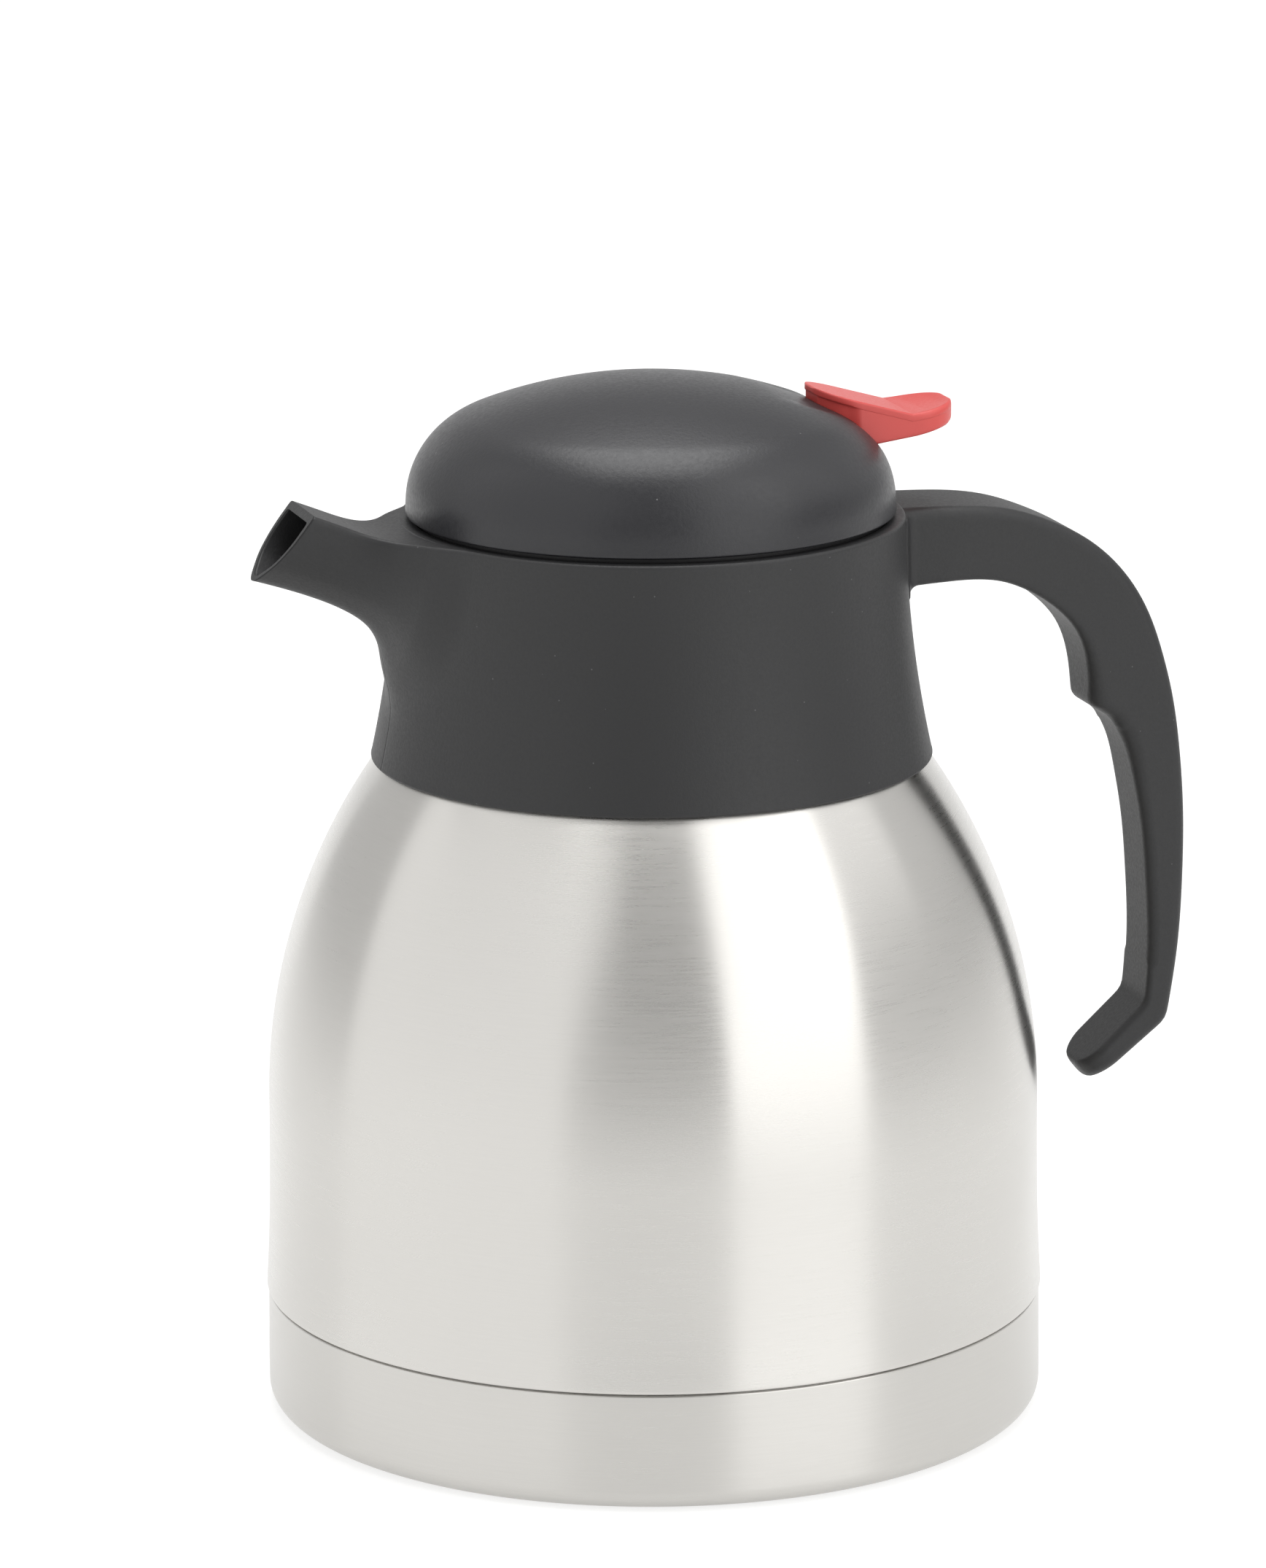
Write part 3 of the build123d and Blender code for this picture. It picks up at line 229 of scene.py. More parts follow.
def brushed_round(name, tint, shade, rough):
    """Steel brushed round the Z axis, with coarse streaks STREAK metres high."""
    finish, tree, shader = finish_named(name)
    where = add(tree, "ShaderNodeTexCoord").outputs["Object"]
    parts = add(tree, "ShaderNodeSeparateXYZ", {0: where})
    level = add(tree, "ShaderNodeCombineXYZ", {"X": parts.outputs["X"], "Y": parts.outputs["Y"]})
    round_axis = add(tree, "ShaderNodeVectorMath", {0: level}, operation="NORMALIZE")
    spread = add(tree, "ShaderNodeVectorMath", {0: round_axis, 1: (STREAKS_ROUND, STREAKS_ROUND, 0.0)},
                 operation="MULTIPLY")
    rise = add(tree, "ShaderNodeMath", {0: parts.outputs["Z"], 1: 1.0 / STREAK}, operation="MULTIPLY")
    lift = add(tree, "ShaderNodeCombineXYZ", {"Z": rise})
    lines = add(tree, "ShaderNodeVectorMath", {0: spread, 1: lift}, operation="ADD")
    fine = add(tree, "ShaderNodeTexNoise", {"Vector": lines, "Scale": 1.0, "Detail": 4.0,
                                            "Roughness": 0.75})
    slow = add(tree, "ShaderNodeTexNoise", {"Vector": where, "Scale": 28.0, "Detail": 1.0})
    colour, dull = led_by(tree, fine, shade, tint, rough, STREAK_SWING)
    worn = add(tree, "ShaderNodeMapRange", {"Value": slow, "From Min": 0.3, "From Max": 0.7,
                                            "To Min": -WEAR_SWING, "To Max": WEAR_SWING})
    sheen = add(tree, "ShaderNodeMath", {0: dull, 1: worn}, operation="ADD")
    grooves = add(tree, "ShaderNodeBump", {"Height": fine, "Distance": 0.000005, "Strength": 0.035})
    along = add(tree, "ShaderNodeTangent", direction_type="RADIAL", axis="Z")
    tie(shader, {"Base Color": colour, "Roughness": sheen, "Normal": grooves, "Tangent": along,
                 "Metallic": 1.0, "Anisotropic": 0.92, "Anisotropic Rotation": 0.25})
    return finish


steel_shell = brushed_round("brushed stainless steel, shell", "#D3D1CD", "#CBC9C5", 0.29)
steel_base = brushed_round("brushed stainless steel, base", "#D0CECA", "#C6C4C0", 0.31)
print("two brushed steels")

# %% [markdown]
# ## Moulded plastics
# Collar, lid and lever are injection moulded. The mould of the dark parts is spark eroded, which
# leaves a fine, even grain two to four tenths of a millimetre wide, so they look dry and soft. The
# lever's mould is smoother, so it has a broad satin gloss. The mould of the collar parts in the middle
# plane, and its parting line shows as a thin groove below the spout, darkened with painted shade.

# %% Moulded plastics
PLASTIC_IOR = 1.49
GRAIN_SWING = 0.05
DUST_SCALE, DUST_LEFT_OUT = 650.0, 0.955
SEAM_FADES_Z, SEAM_ENDS_Z, SEAM_FRONT_X = 0.150, 0.158, -0.048


def moulded(name, tint, shade, rough, grain, depth, specks=0.0, seam=0.0):
    """Plastic with an even grain. grain is the width of one bump and depth its height, in metres.
    specks is how bright stray dust is, and seam half the width of the mould's parting line."""
    finish, tree, shader = finish_named(name)
    where = add(tree, "ShaderNodeTexCoord").outputs["Object"]
    pits = add(tree, "ShaderNodeTexNoise", {"Vector": where, "Scale": 0.5 / grain, "Detail": 2.0,
                                            "Roughness": 0.6})
    cloud = add(tree, "ShaderNodeTexNoise", {"Vector": where, "Scale": 35.0, "Detail": 2.0})
    colour, dull = led_by(tree, cloud, shade, tint, rough, GRAIN_SWING, pits)
    grains = add(tree, "ShaderNodeBump", {"Height": pits, "Distance": depth, "Strength": 1.0})
    if specks:
        dust = add(tree, "ShaderNodeTexVoronoi", {"Vector": where, "Scale": DUST_SCALE})
        near = add(tree, "ShaderNodeMapRange", {"Value": dust, "From Min": 0.05,
                                                "From Max": 0.12, "To Min": specks, "To Max": 0.0})
        rare = add(tree, "ShaderNodeTexWhiteNoise", {"Vector": dust.outputs["Position"]})
        some = add(tree, "ShaderNodeMath", {0: rare, 1: DUST_LEFT_OUT}, operation="GREATER_THAN")
        amount = add(tree, "ShaderNodeMath", {0: near, 1: some}, operation="MULTIPLY")
        colour = add(tree, "ShaderNodeMix", {"Factor": amount, 6: colour, 7: linear("#B8B8B8")},
                     data_type="RGBA").outputs[2]
    if seam:
        parts = add(tree, "ShaderNodeSeparateXYZ", {0: where})
        off = add(tree, "ShaderNodeMath", {0: parts.outputs["Y"]}, operation="ABSOLUTE")
        line = add(tree, "ShaderNodeMapRange", {"Value": off, "From Min": 0.4 * seam,
                                                "From Max": seam, "To Min": 0.7, "To Max": 0.0})
        under = add(tree, "ShaderNodeMapRange", {"Value": parts.outputs["Z"], "From Min": SEAM_FADES_Z,
                                                 "From Max": SEAM_ENDS_Z, "To Min": 1.0, "To Max": 0.0})
        front = add(tree, "ShaderNodeMath", {0: parts.outputs["X"], 1: SEAM_FRONT_X},
                    operation="LESS_THAN")
        low_line = add(tree, "ShaderNodeMath", {0: line, 1: under}, operation="MULTIPLY")
        parting_groove_and_painted_shade = add(tree, "ShaderNodeMath", {0: low_line, 1: front}, operation="MULTIPLY")
        # Painted shade: the parting line's colour is darkened towards near black to stand in for the shade
        # in its groove, and the bump below cuts the groove itself.
        colour = add(tree, "ShaderNodeMix", {"Factor": parting_groove_and_painted_shade, 6: colour, 7: linear("#0C0C0C")},
                     data_type="RGBA").outputs[2]
        grains = add(tree, "ShaderNodeBump", {"Height": parting_groove_and_painted_shade, "Distance": seam, "Strength": 1.0,
                                              "Normal": grains}, invert=True)
    tie(shader, {"Base Color": colour, "Roughness": dull, "Normal": grains, "IOR": PLASTIC_IOR})
    return finish


charcoal = moulded("polypropylene, charcoal, spark-eroded grain", "#202021", "#1E1E1F", 0.50, 0.0003,
                   0.00004, specks=0.14, seam=0.00045)
dome_plastic = moulded("polypropylene, charcoal, polished grain", "#242427", "#222225", 0.37, 0.0004,
                       0.00004, specks=0.35)
black_plastic = moulded("polypropylene, black, fine grain", "#252526", "#222223", 0.45, 0.0002, 0.00001)
red_plastic = moulded("polypropylene, muted red, satin", "#C84A45", "#C24440", 0.40, 0.0003, 0.000004)
silicone = moulded("silicone rubber, milky", "#D6D4CE", "#CFCDC7", 0.42, 0.0003, 0.000004)
print("five mouldings")

# %% [markdown]
# ## Plain metals inside
# The flask is drawn steel that was polished in a bath, so it is bright and smooth. Pin, stem, screws
# and spring are turned or drawn steel with a fine, even grain. The brazed plug and the getter
# tablet are dull.

# %% Plain metals
def plain_metal(name, tint, shade, rough, grain):
    """Metal with a faint, even grain. grain is its width in metres."""
    finish, tree, shader = finish_named(name)
    where = add(tree, "ShaderNodeTexCoord").outputs["Object"]
    mottle = add(tree, "ShaderNodeTexNoise", {"Vector": where, "Scale": 0.5 / grain, "Detail": 3.0})
    colour, dull = led_by(tree, mottle, shade, tint, rough, GRAIN_SWING)
    tie(shader, {"Base Color": colour, "Roughness": dull, "Metallic": 1.0})
    return finish


flask_steel = plain_metal("stainless steel, electropolished", "#D9D7D3", "#CFCDC9", 0.20, 0.002)
drawn_steel = plain_metal("stainless steel, drawn and ground", "#C9C8C5", "#BDBCB9", 0.28, 0.0005)
braze = plain_metal("nickel braze, dull", "#A59C8E", "#958C7E", 0.50, 0.0008)
tablet = plain_metal("sintered getter alloy, grey", "#6E6C6A", "#5E5C5A", 0.75, 0.0004)

FINISHES = {
    steel_base: "base_cup", steel_shell: "outer_shell", flask_steel: "liner vacuum_base",
    braze: "evacuation_plug", tablet: "getter", charcoal: "collar", dome_plastic: "lid_dome",
    red_plastic: "lever", black_plastic: "mouth_ring stopper_body stopper_deck valve_plug",
    silicone: "neck_gasket flange_seal stem_seal stopper_seal valve_seal",
    drawn_steel: "deck_screws lever_pin valve_stem stem_clip valve_spring",
}
dressed = [(name, finish) for finish, names in FINISHES.items() for name in names.split()]
for name, finish in dressed:
    for place in nodes[name].material_slots:
        place.material = finish
print(len(dressed), "nodes dressed in", len(FINISHES), "finishes")

# %% [markdown]
# ## Outlines turned round the axis
# Shell, base, collar and dome are bodies of revolution: one outline, turned once round the axis.
# A Geometry Nodes tree does the turning. It lays out a grid with one column for each step round and
# one row for each point of the outline, then moves every grid point to its outline point and turns
# it by its column's angle. The seam and the poles are closed by merging points that fall together.
# The alternative, the Screw modifier, gives the same skin, but the tree can be read step by step.

# %% Both ends of a node tree
def open_tree(name, wanted):
    """A new tree with its input node. wanted gives the kind of socket for each input's name."""
    tree = bpy.data.node_groups.new(name, "GeometryNodeTree")
    for label, kind in wanted.items():
        tree.interface.new_socket(label, in_out="INPUT", socket_type="NodeSocket" + kind)
    tree.interface.new_socket("Skin", in_out="OUTPUT", socket_type="NodeSocketGeometry")
    return tree, add(tree, "NodeGroupInput")


def close_tree(tree, start, skin):
    """Shades the skin smooth, paints it with the finish and hands it out."""
    smooth = add(tree, "GeometryNodeSetShadeSmooth", {"Geometry": skin})
    real = add(tree, "GeometryNodeRealizeInstances", {"Geometry": smooth})
    painted = add(tree, "GeometryNodeSetMaterial", {"Geometry": real,
                                                    "Material": start.outputs["Finish"]})
    add(tree, "NodeGroupOutput", {"Skin": painted})
    print(tree.name + ":", len(tree.nodes), "nodes")
    return tree


# %% The turning tree
def turning_tree():
    """A node tree that turns an outline in the XZ plane into a skin round Z."""
    wanted = {"Outline": "Geometry", "Steps round": "Int", "Finish": "Material"}
    tree, start = open_tree("turn an outline", wanted)
    outline, steps = start.outputs["Outline"], start.outputs["Steps round"]
    rows = add(tree, "GeometryNodeAttributeDomainSize", {0: outline}, component="MESH")
    columns = add(tree, "ShaderNodeMath", {0: steps, 1: 1.0}, operation="ADD")
    grid = add(tree, "GeometryNodeMeshGrid", {"Vertices X": columns, "Vertices Y": rows})
    number = add(tree, "GeometryNodeInputIndex")
    middle = add(tree, "ShaderNodeMath", {0: number, 1: 0.5}, operation="ADD")
    share = add(tree, "ShaderNodeMath", {0: middle, 1: rows}, operation="DIVIDE")
    column = add(tree, "ShaderNodeMath", {0: share}, operation="FLOOR")
    before = add(tree, "ShaderNodeMath", {0: column, 1: rows}, operation="MULTIPLY")
    row = add(tree, "ShaderNodeMath", {0: number, 1: before}, operation="SUBTRACT")
    place = add(tree, "GeometryNodeInputPosition")
    point = add(tree, "GeometryNodeSampleIndex", {0: outline, 1: place, 2: row},
                data_type="FLOAT_VECTOR", domain="POINT")
    part = add(tree, "ShaderNodeMath", {0: column, 1: steps}, operation="DIVIDE")
    angle = add(tree, "ShaderNodeMath", {0: part, 1: math.tau}, operation="MULTIPLY")
    turned = add(tree, "ShaderNodeVectorRotate", {"Vector": point, "Angle": angle},
                 rotation_type="Z_AXIS")
    moved = add(tree, "GeometryNodeSetPosition", {"Geometry": grid, "Position": turned})
    closed = add(tree, "GeometryNodeMergeByDistance", {"Geometry": moved, "Distance": 0.000002})
    return close_tree(tree, start, closed)


TURNING = turning_tree()

# %% Turn one outline into a piece
def settle(piece):
    """Turns what the modifiers make into the piece's own mesh and takes the modifiers off."""
    made = piece.evaluated_get(bpy.context.evaluated_depsgraph_get())
    solid = bpy.data.meshes.new_from_object(made)
    solid.name = piece.name
    piece.modifiers.clear()
    piece.data = solid
    return piece


def even_shading(piece):
    """Lets wide faces set the shading, so that only the small roundings between them look round."""
    for face in piece.data.polygons:
        face.use_smooth = True
    piece.modifiers.new("even shading", "WEIGHTED_NORMAL").keep_sharp = True
    return settle(piece)


def new_piece(name, points, edges, faces, finish=None):
    """An object at the origin with a mesh of these points, in metres."""
    mesh = bpy.data.meshes.new(name)
    mesh.from_pydata(points, edges, faces)
    if finish:
        mesh.materials.append(finish)
    piece = bpy.data.objects.new(name, mesh)
    scene.collection.objects.link(piece)
    return piece


def grown(piece, tree, wanted):
    """Lets a node tree make the piece's mesh from these inputs."""
    maker = piece.modifiers.new(tree.name, "NODES")
    maker.node_group = tree
    for socket in tree.interface.items_tree:
        if socket.name in wanted:
            maker[socket.identifier] = wanted[socket.name]
    return settle(piece)


def turned_piece(name, outline, finish, steps=240):
    """A skin round Z. outline is a list of (radius, height) in millimetres, up on the outside."""
    points = [(r * MM, 0.0, z * MM) for r, z in outline]
    edges = [(i, i + 1) for i in range(len(points) - 1)]
    piece = new_piece(name, points, edges, [])
    even_shading(grown(piece, TURNING, {"Steps round": steps, "Finish": finish}))
    print(name, len(piece.data.polygons), "faces")
    return piece


# %% Outline helpers
def arc(cr, cz, radius, start, end, step=6.0):
    """Points of an arc about (cr, cz), from one angle to another in degrees."""
    count = max(2, math.ceil(abs(end - start) / step) + 1)
    turns = [math.radians(start + (end - start) * i / (count - 1)) for i in range(count)]
    return [(cr + radius * math.cos(a), cz + radius * math.sin(a)) for a in turns]


def reach(line):
    """How far along the line each of its points lies."""
    return np.concatenate([[0.0], np.cumsum(np.linalg.norm(np.diff(line, axis=0), axis=1))])


def taken_at(line, stops):
    """The line's points at these distances along it."""
    far = reach(line)
    return np.stack([np.interp(stops, far, column) for column in line.T], axis=1)


FINE_STEPS = 40


def through(points, count, clamp_start=None, clamp_end=None):
    """A smooth line through the points, as count points spaced evenly along it. A clamp is the slope
    at an end, and an end without one is left free."""
    p = np.array(points, float)
    gaps = np.linalg.norm(np.diff(p, axis=0), axis=1)
    n = len(p)
    grid = np.zeros((n, n))
    pull = np.zeros_like(p)
    for i in range(1, n - 1):
        grid[i, i - 1:i + 2] = (gaps[i], 2 * (gaps[i - 1] + gaps[i]), gaps[i - 1])
        pull[i] = 3 * (gaps[i] * (p[i] - p[i - 1]) / gaps[i - 1] + gaps[i - 1] * (p[i + 1] - p[i]) / gaps[i])
    for i, near, held in ((0, 1, clamp_start), (n - 1, n - 2, clamp_end)):
        if held is None:
            grid[i, i], grid[i, near] = 2.0, 1.0
            pull[i] = 3 * (p[max(i, near)] - p[min(i, near)]) / gaps[min(i, near)]
        else:
            grid[i, i] = 1.0
            pull[i] = held
    slopes = np.linalg.solve(grid, pull)
    fine = []
    for i in range(n - 1):
        t = np.linspace(0.0, 1.0, FINE_STEPS, endpoint=i == n - 2)[:, None]
        h00, h10 = 2 * t ** 3 - 3 * t ** 2 + 1, t ** 3 - 2 * t ** 2 + t
        h01, h11 = -2 * t ** 3 + 3 * t ** 2, t ** 3 - t ** 2
        fine.append(h00 * p[i] + h10 * gaps[i] * slopes[i] + h01 * p[i + 1] + h11 * gaps[i] * slopes[i + 1])
    fine = np.concatenate(fine)
    return taken_at(fine, np.linspace(0.0, reach(fine)[-1], count))


print("a quarter turn of 2 mm takes", len(arc(0, 0, 2, 0, 90)), "points")

# %% [markdown]
# ## The base cup
# The base is a shallow cup pressed from sheet. Its wall bulges by a tenth of a millimetre, its lower
# edge is rounded by 4 mm, and its cut top edge is dressed with a tiny radius, which catches a thin
# line of light next to the dark joint. The underside has a pressed ring, so that it stands on its rim
# and on the middle pad.

# %% Base cup
base_outline = [(0.0, 0.0), (11.0, 0.0), (22.0, 0.0), (22.4, 0.2), (23.2, 1.2), (23.7, 1.5), (42.0, 1.5),
                (60.3, 1.5), (60.8, 1.2), (61.6, 0.2), (62.0, 0.0), (68.0, 0.0)]
base_outline += arc(73.2, 4.0, 4.0, -90, 0, 7.5)
base_outline += [(77.22, 6.0), (77.23, 8.0), (77.21, 11.0), (77.16, 14.0), (77.12, 18.0), (77.08, 22.0)]
base_outline += arc(76.78, 22.9, 0.3, 0, 90, 18) + [(76.4, 23.2), (76.4, 12.0), (76.4, 4.0)]
base_outline += arc(73.2, 4.0, 3.2, 0, -90, 15)[1:]
base_outline += [(62.4, 0.8), (60.9, 2.3), (23.1, 2.3), (21.6, 0.8), (0.0, 0.8)]
base_piece = turned_piece("base_cup_skin", base_outline, steel_base)

# %% [markdown]
# ## The shell
# The shell stands on the base with a shadow line of 0.4 mm. Its belly is nearly straight, its shoulder
# is one arc of 118 mm radius, and its neck disappears in the collar. The lip at the foot is rolled,
# which shows as a bright thread above the joint.

# %% Shell
WAIST = (76.46, 62.3)
SHOULDER_R, NECK_R, SHEET = 118.0, 6.0, 0.8
shoulder_centre = (WAIST[0] - SHOULDER_R, WAIST[1])
neck_centre = (46.6, 149.52)
shoulder_end = math.degrees(math.atan2(neck_centre[1] - WAIST[1], neck_centre[0] - shoulder_centre[0]))
foot_in = 76.25
shell_outline = [(foot_in, 9.7), (foot_in, 16.0), (foot_in, 23.6), (76.7, 23.6)]
shell_outline += arc(77.05, 23.95, 0.35, -90, 0, 18)
belly = through([(77.4, 24.4), (77.19, 28.0), (76.86, 35.0), (76.6, 46.0), WAIST], 20, clamp_end=(0.0, 1.0))
shell_outline += [tuple(p) for p in belly]
shell_outline += arc(*shoulder_centre, SHOULDER_R, 0.0, shoulder_end, 0.8)[1:]
shell_outline += arc(*neck_centre, NECK_R, 180 + shoulder_end, 180, 9)[1:]
shell_outline += [(40.6, 154.0)] + arc(40.2, 157.6, 0.4, 0, 90, 30)
shell_outline += [(39.8, 158.0), (39.8, 149.52)]
shell_outline += arc(*neck_centre, NECK_R + SHEET, 180, 180 + shoulder_end, 15)[1:]
shell_outline += arc(*shoulder_centre, SHOULDER_R - SHEET, shoulder_end, 0.0, 3)[1:]
shell_outline += [(75.9, 46.0), (76.3, 28.0), (76.4, 24.4), (75.45, 24.0), (75.45, 9.7), (foot_in, 9.7)]
shell_piece = turned_piece("shell_skin", shell_outline, steel_shell, 300)

# %% [markdown]
# ## The collar's wall
# Collar, spout and handle are one moulding. Its wall leans in a long arc from a wide foot to the rim,
# with a small radius on every edge, because a steel mould never leaves a sharp one. Inside hangs the
# sleeve that holds the mouth ring. The wall is turned from its outline first.

# %% Collar outline
RIM_Z, FOOT_Z = 179.1, 131.2
COLLAR_ARC = ((55.4, FOOT_Z), (51.35, 155.15), (49.9, RIM_Z))
COLLAR_WALL = 2.4


def circle_through(a, b, c):
    """Centre and radius of the circle through three points."""
    (ax, ay), (bx, by), (cx, cy) = a, b, c
    d = 2 * (ax * (by - cy) + bx * (cy - ay) + cx * (ay - by))
    sa, sb, sc = ax * ax + ay * ay, bx * bx + by * by, cx * cx + cy * cy
    x = (sa * (by - cy) + sb * (cy - ay) + sc * (ay - by)) / d
    y = (sa * (cx - bx) + sb * (ax - cx) + sc * (bx - ax)) / d
    return x, y, math.dist((x, y), a)


ARC_R, ARC_Z, ARC_SIZE = circle_through(*COLLAR_ARC)


def collar_radius(z):
    """The collar's outer radius at a height, before its edges are rounded."""
    return ARC_R - np.sqrt(ARC_SIZE ** 2 - (np.asarray(z, float) - ARC_Z) ** 2)


def collar_line(low, high, inset=0.0, count=24):
    """Points up the collar's side between two heights."""
    return [(float(collar_radius(z)) - inset, z) for z in np.linspace(low, high, count)]


collar_outline = [(54.98, FOOT_Z)] + arc(54.88, 131.65, 0.45, -90, 8, 14)
collar_outline += collar_line(132.2, 178.0, count=30)
collar_outline += arc(49.2, 178.4, 0.7, 4, 90, 12) + [(48.2, RIM_Z)]
collar_outline += arc(47.1, 178.8, 0.3, 90, 180, 30)
collar_outline += [(46.8, 175.4), (43.4, 175.4), (43.4, 145.5), (45.2, 145.5), (45.2, 172.0)]
collar_outline += collar_line(136.0, 172.0, COLLAR_WALL, 12)[::-1]
collar_outline += [(52.6, 134.4), (54.1, 132.4), (54.98, FOOT_Z)]
wall_piece = turned_piece("collar_wall", collar_outline, charcoal, 256)
print("the collar leans on an arc of", round(ARC_SIZE), "mm")

# %% [markdown]
# ## The spout
# The spout is a U-shaped trough with a flat top that grows out of the wall. It is lofted: a ring of
# points at each of nine stations, joined by a smooth skin. Towards the wall each point is pushed out
# to the larger of its own radius and the wall's, with the two melted together over a few millimetres,
# so that the side of the spout runs into the collar in one hollow sweep without a line.

# %% Spout stations and sections
SPOUT = ((-70.3, 184.7, -80.7, 171.2, 8.6), (-66.3, 183.1, -75.4, 169.5, 8.7),
         (-62.2, 181.4, -68.6, 167.0, 9.0), (-58.3, 180.0, -62.1, 163.9, 9.9),
         (-54.8, 179.2, -57.4, 160.2, 11.6), (-51.8, 178.95, -55.0, 155.5, 14.2),
         (-48.5, 179.02, -53.4, 149.5, 18.0), (-44.5, 179.08, -51.6, 143.5, 22.0),
         (-38.0, 179.08, -49.2, 137.5, 24.5))
U_SHAPE = ((0.0, 1.0), (0.28, 1.0), (0.5, 0.915), (0.7, 0.73), (0.87, 0.43), (1.0, 0.0))
SIDE_POINTS, FINE_POINTS = 34, 200


def closed_ring(half, start, way):
    """A ring in space. Each point of half is a distance from start along way, and a half width."""
    half = np.array(half)
    ring = np.concatenate([half, half[1:-1][::-1] * (1.0, -1.0)])
    place = start + ring[:, :1] * way
    return np.stack([place[:, 0], ring[:, 1], place[:, 1]], axis=1)


def trough_ring(station, corner=0.8, top_in=0.0, side_in=0.0):
    """A closed ring of points round one section of the spout, from the middle of its flat top."""
    x_top, z_top, x_keel, z_keel, half_w = station
    top, keel = np.array([x_top, z_top]), np.array([x_keel, z_keel])
    depth = np.linalg.norm(keel - top)
    down = (keel - top) / depth
    top, depth, half_w = top + down * top_in, depth - top_in - side_in, half_w - side_in
    side = [(share * depth, width * half_w) for share, width in U_SHAPE]
    side = through(side, FINE_POINTS, clamp_start=(1.0, 0.0), clamp_end=(0.0, -1.0))
    far = reach(side)
    begin = np.interp(corner * 1.02, side[:, 0], far)
    side = taken_at(side, begin + (far[-1] - begin) * np.linspace(0.0, 1.0, SIDE_POINTS))
    flat = [(0.0, (half_w - corner) * f) for f in (0.0, 0.3, 0.6, 0.85, 0.97)]
    bend = arc(corner, half_w - corner, corner, 180, 90, 18)
    return closed_ring([*flat, *bend, *side], top, down)


ring_size = len(trough_ring(SPOUT[0]))
print("one ring of the spout has", ring_size, "points")

# %% Loft rings into a closed skin
def sum_of_volume(piece):
    """Signed volume of a closed mesh in cubic centimetres, negative when it is inside out."""
    total = 0.0
    piece.data.calc_loop_triangles()
    for face in piece.data.loop_triangles:
        a, b, c = (piece.data.vertices[i].co for i in face.vertices)
        total += a.dot(b.cross(c)) / 6.0
    return total * 1e6


def lofted(name, rings, finish):
    """A closed skin over rings of equally many points, in millimetres, capped at both ends."""
    count, size = len(rings), len(rings[0])
    points = np.concatenate(rings) * MM
    faces = []
    for i in range(count - 1):
        for j in range(size):
            k = (j + 1) % size
            faces.append((i * size + j, i * size + k, (i + 1) * size + k, (i + 1) * size + j))
    faces.append(tuple(range(size))[::-1])
    faces.append(tuple(range((count - 1) * size, count * size)))
    piece = new_piece(name, points.tolist(), [], faces, finish)
    if sum_of_volume(piece) < 0:
        piece.data.flip_normals()
    return piece


def melt(own, wall, width):
    """The larger of two radii, melted together where they are closer than width."""
    near = np.clip(1.0 - np.abs(own - wall) / width, 0.0, 1.0)
    return np.maximum(own, wall) + near ** 2 * width / 4.0


def ease(value, low, high):
    """Runs smoothly from 0 at low to 1 at high."""
    t = min(1.0, max(0.0, (value - low) / (high - low)))
    return t * t * (3 - 2 * t)


SPOUT_RINGS = 84
MELTS_OVER, PROUD = 5.0, 0.012
FADES_FROM, FADED_AT = 56, 80
SINKS_FROM, SUNK_AT, SINKS_BY = 70, 83, 0.09
RIM_POINT = 10


def spout_rings():
    """Rings of the spout's outside, pushed out to the collar's wall. The last ones hug the wall and
    sink into it, and on the flat top the push fades away from the rim to the middle."""
    rings = []
    flat = [j for j in range(ring_size) if j < RIM_POINT or j > ring_size - RIM_POINT]
    for i, station in enumerate(through(SPOUT, SPOUT_RINGS)):
        ring = trough_ring(station)
        r = np.hypot(ring[:, 0], ring[:, 1])
        wall = collar_radius(np.minimum(ring[:, 2], RIM_Z)) + PROUD
        pushed = wall + (melt(r, wall, MELTS_OVER) - wall) * (1.0 - ease(i, FADES_FROM, FADED_AT))
        sunk = SINKS_BY * max(0.0, (i - SINKS_FROM) / (SUNK_AT - SINKS_FROM)) ** 2
        grow = (pushed - sunk) / r
        share = np.ones(ring_size)
        across = np.abs(ring[:, 1]) / np.abs(ring[RIM_POINT, 1])
        share[flat] = across[flat] ** 3
        grow[flat] = grow[RIM_POINT]
        ring[:, :2] *= (1.0 + (grow - 1.0) * np.clip(share, 0.0, 1.0))[:, None]
        rings.append(ring)
    return rings


spout_piece = lofted("spout", spout_rings(), charcoal)
print("spout:", round(sum_of_volume(spout_piece), 1), "cm3 before it is hollowed")

# %% Cut the channel and clear the mouth
CHANNEL_IN = ((-49.5, 175.0, -50.3, 162.3, 10.0), (-44.0, 172.6, -44.2, 161.6, 9.2),
              (-38.0, 172.0, -38.0, 161.5, 9.0))
LIP_TOP, LIP_SIDE, CHANNEL_CORNER = 1.7, 1.15, 0.7


def hollow_rings():
    """Rings of the pouring channel, from past the lip to the mouth."""
    first, second = np.array(SPOUT[0]), np.array(SPOUT[1])
    outside = [2 * first - second] + [np.array(s) for s in SPOUT[:5]]
    rings = [trough_ring(s, CHANNEL_CORNER, LIP_TOP, LIP_SIDE) for s in through(outside, 40)]
    return rings + [trough_ring(s, CHANNEL_CORNER) for s in through(CHANNEL_IN, 10)]


def cut(piece, cutter):
    """Takes the cutter's space out of the piece."""
    knife = piece.modifiers.new("cut", "BOOLEAN")
    knife.operation = "DIFFERENCE"
    knife.solver = "EXACT"
    knife.object = cutter
    settle(piece)


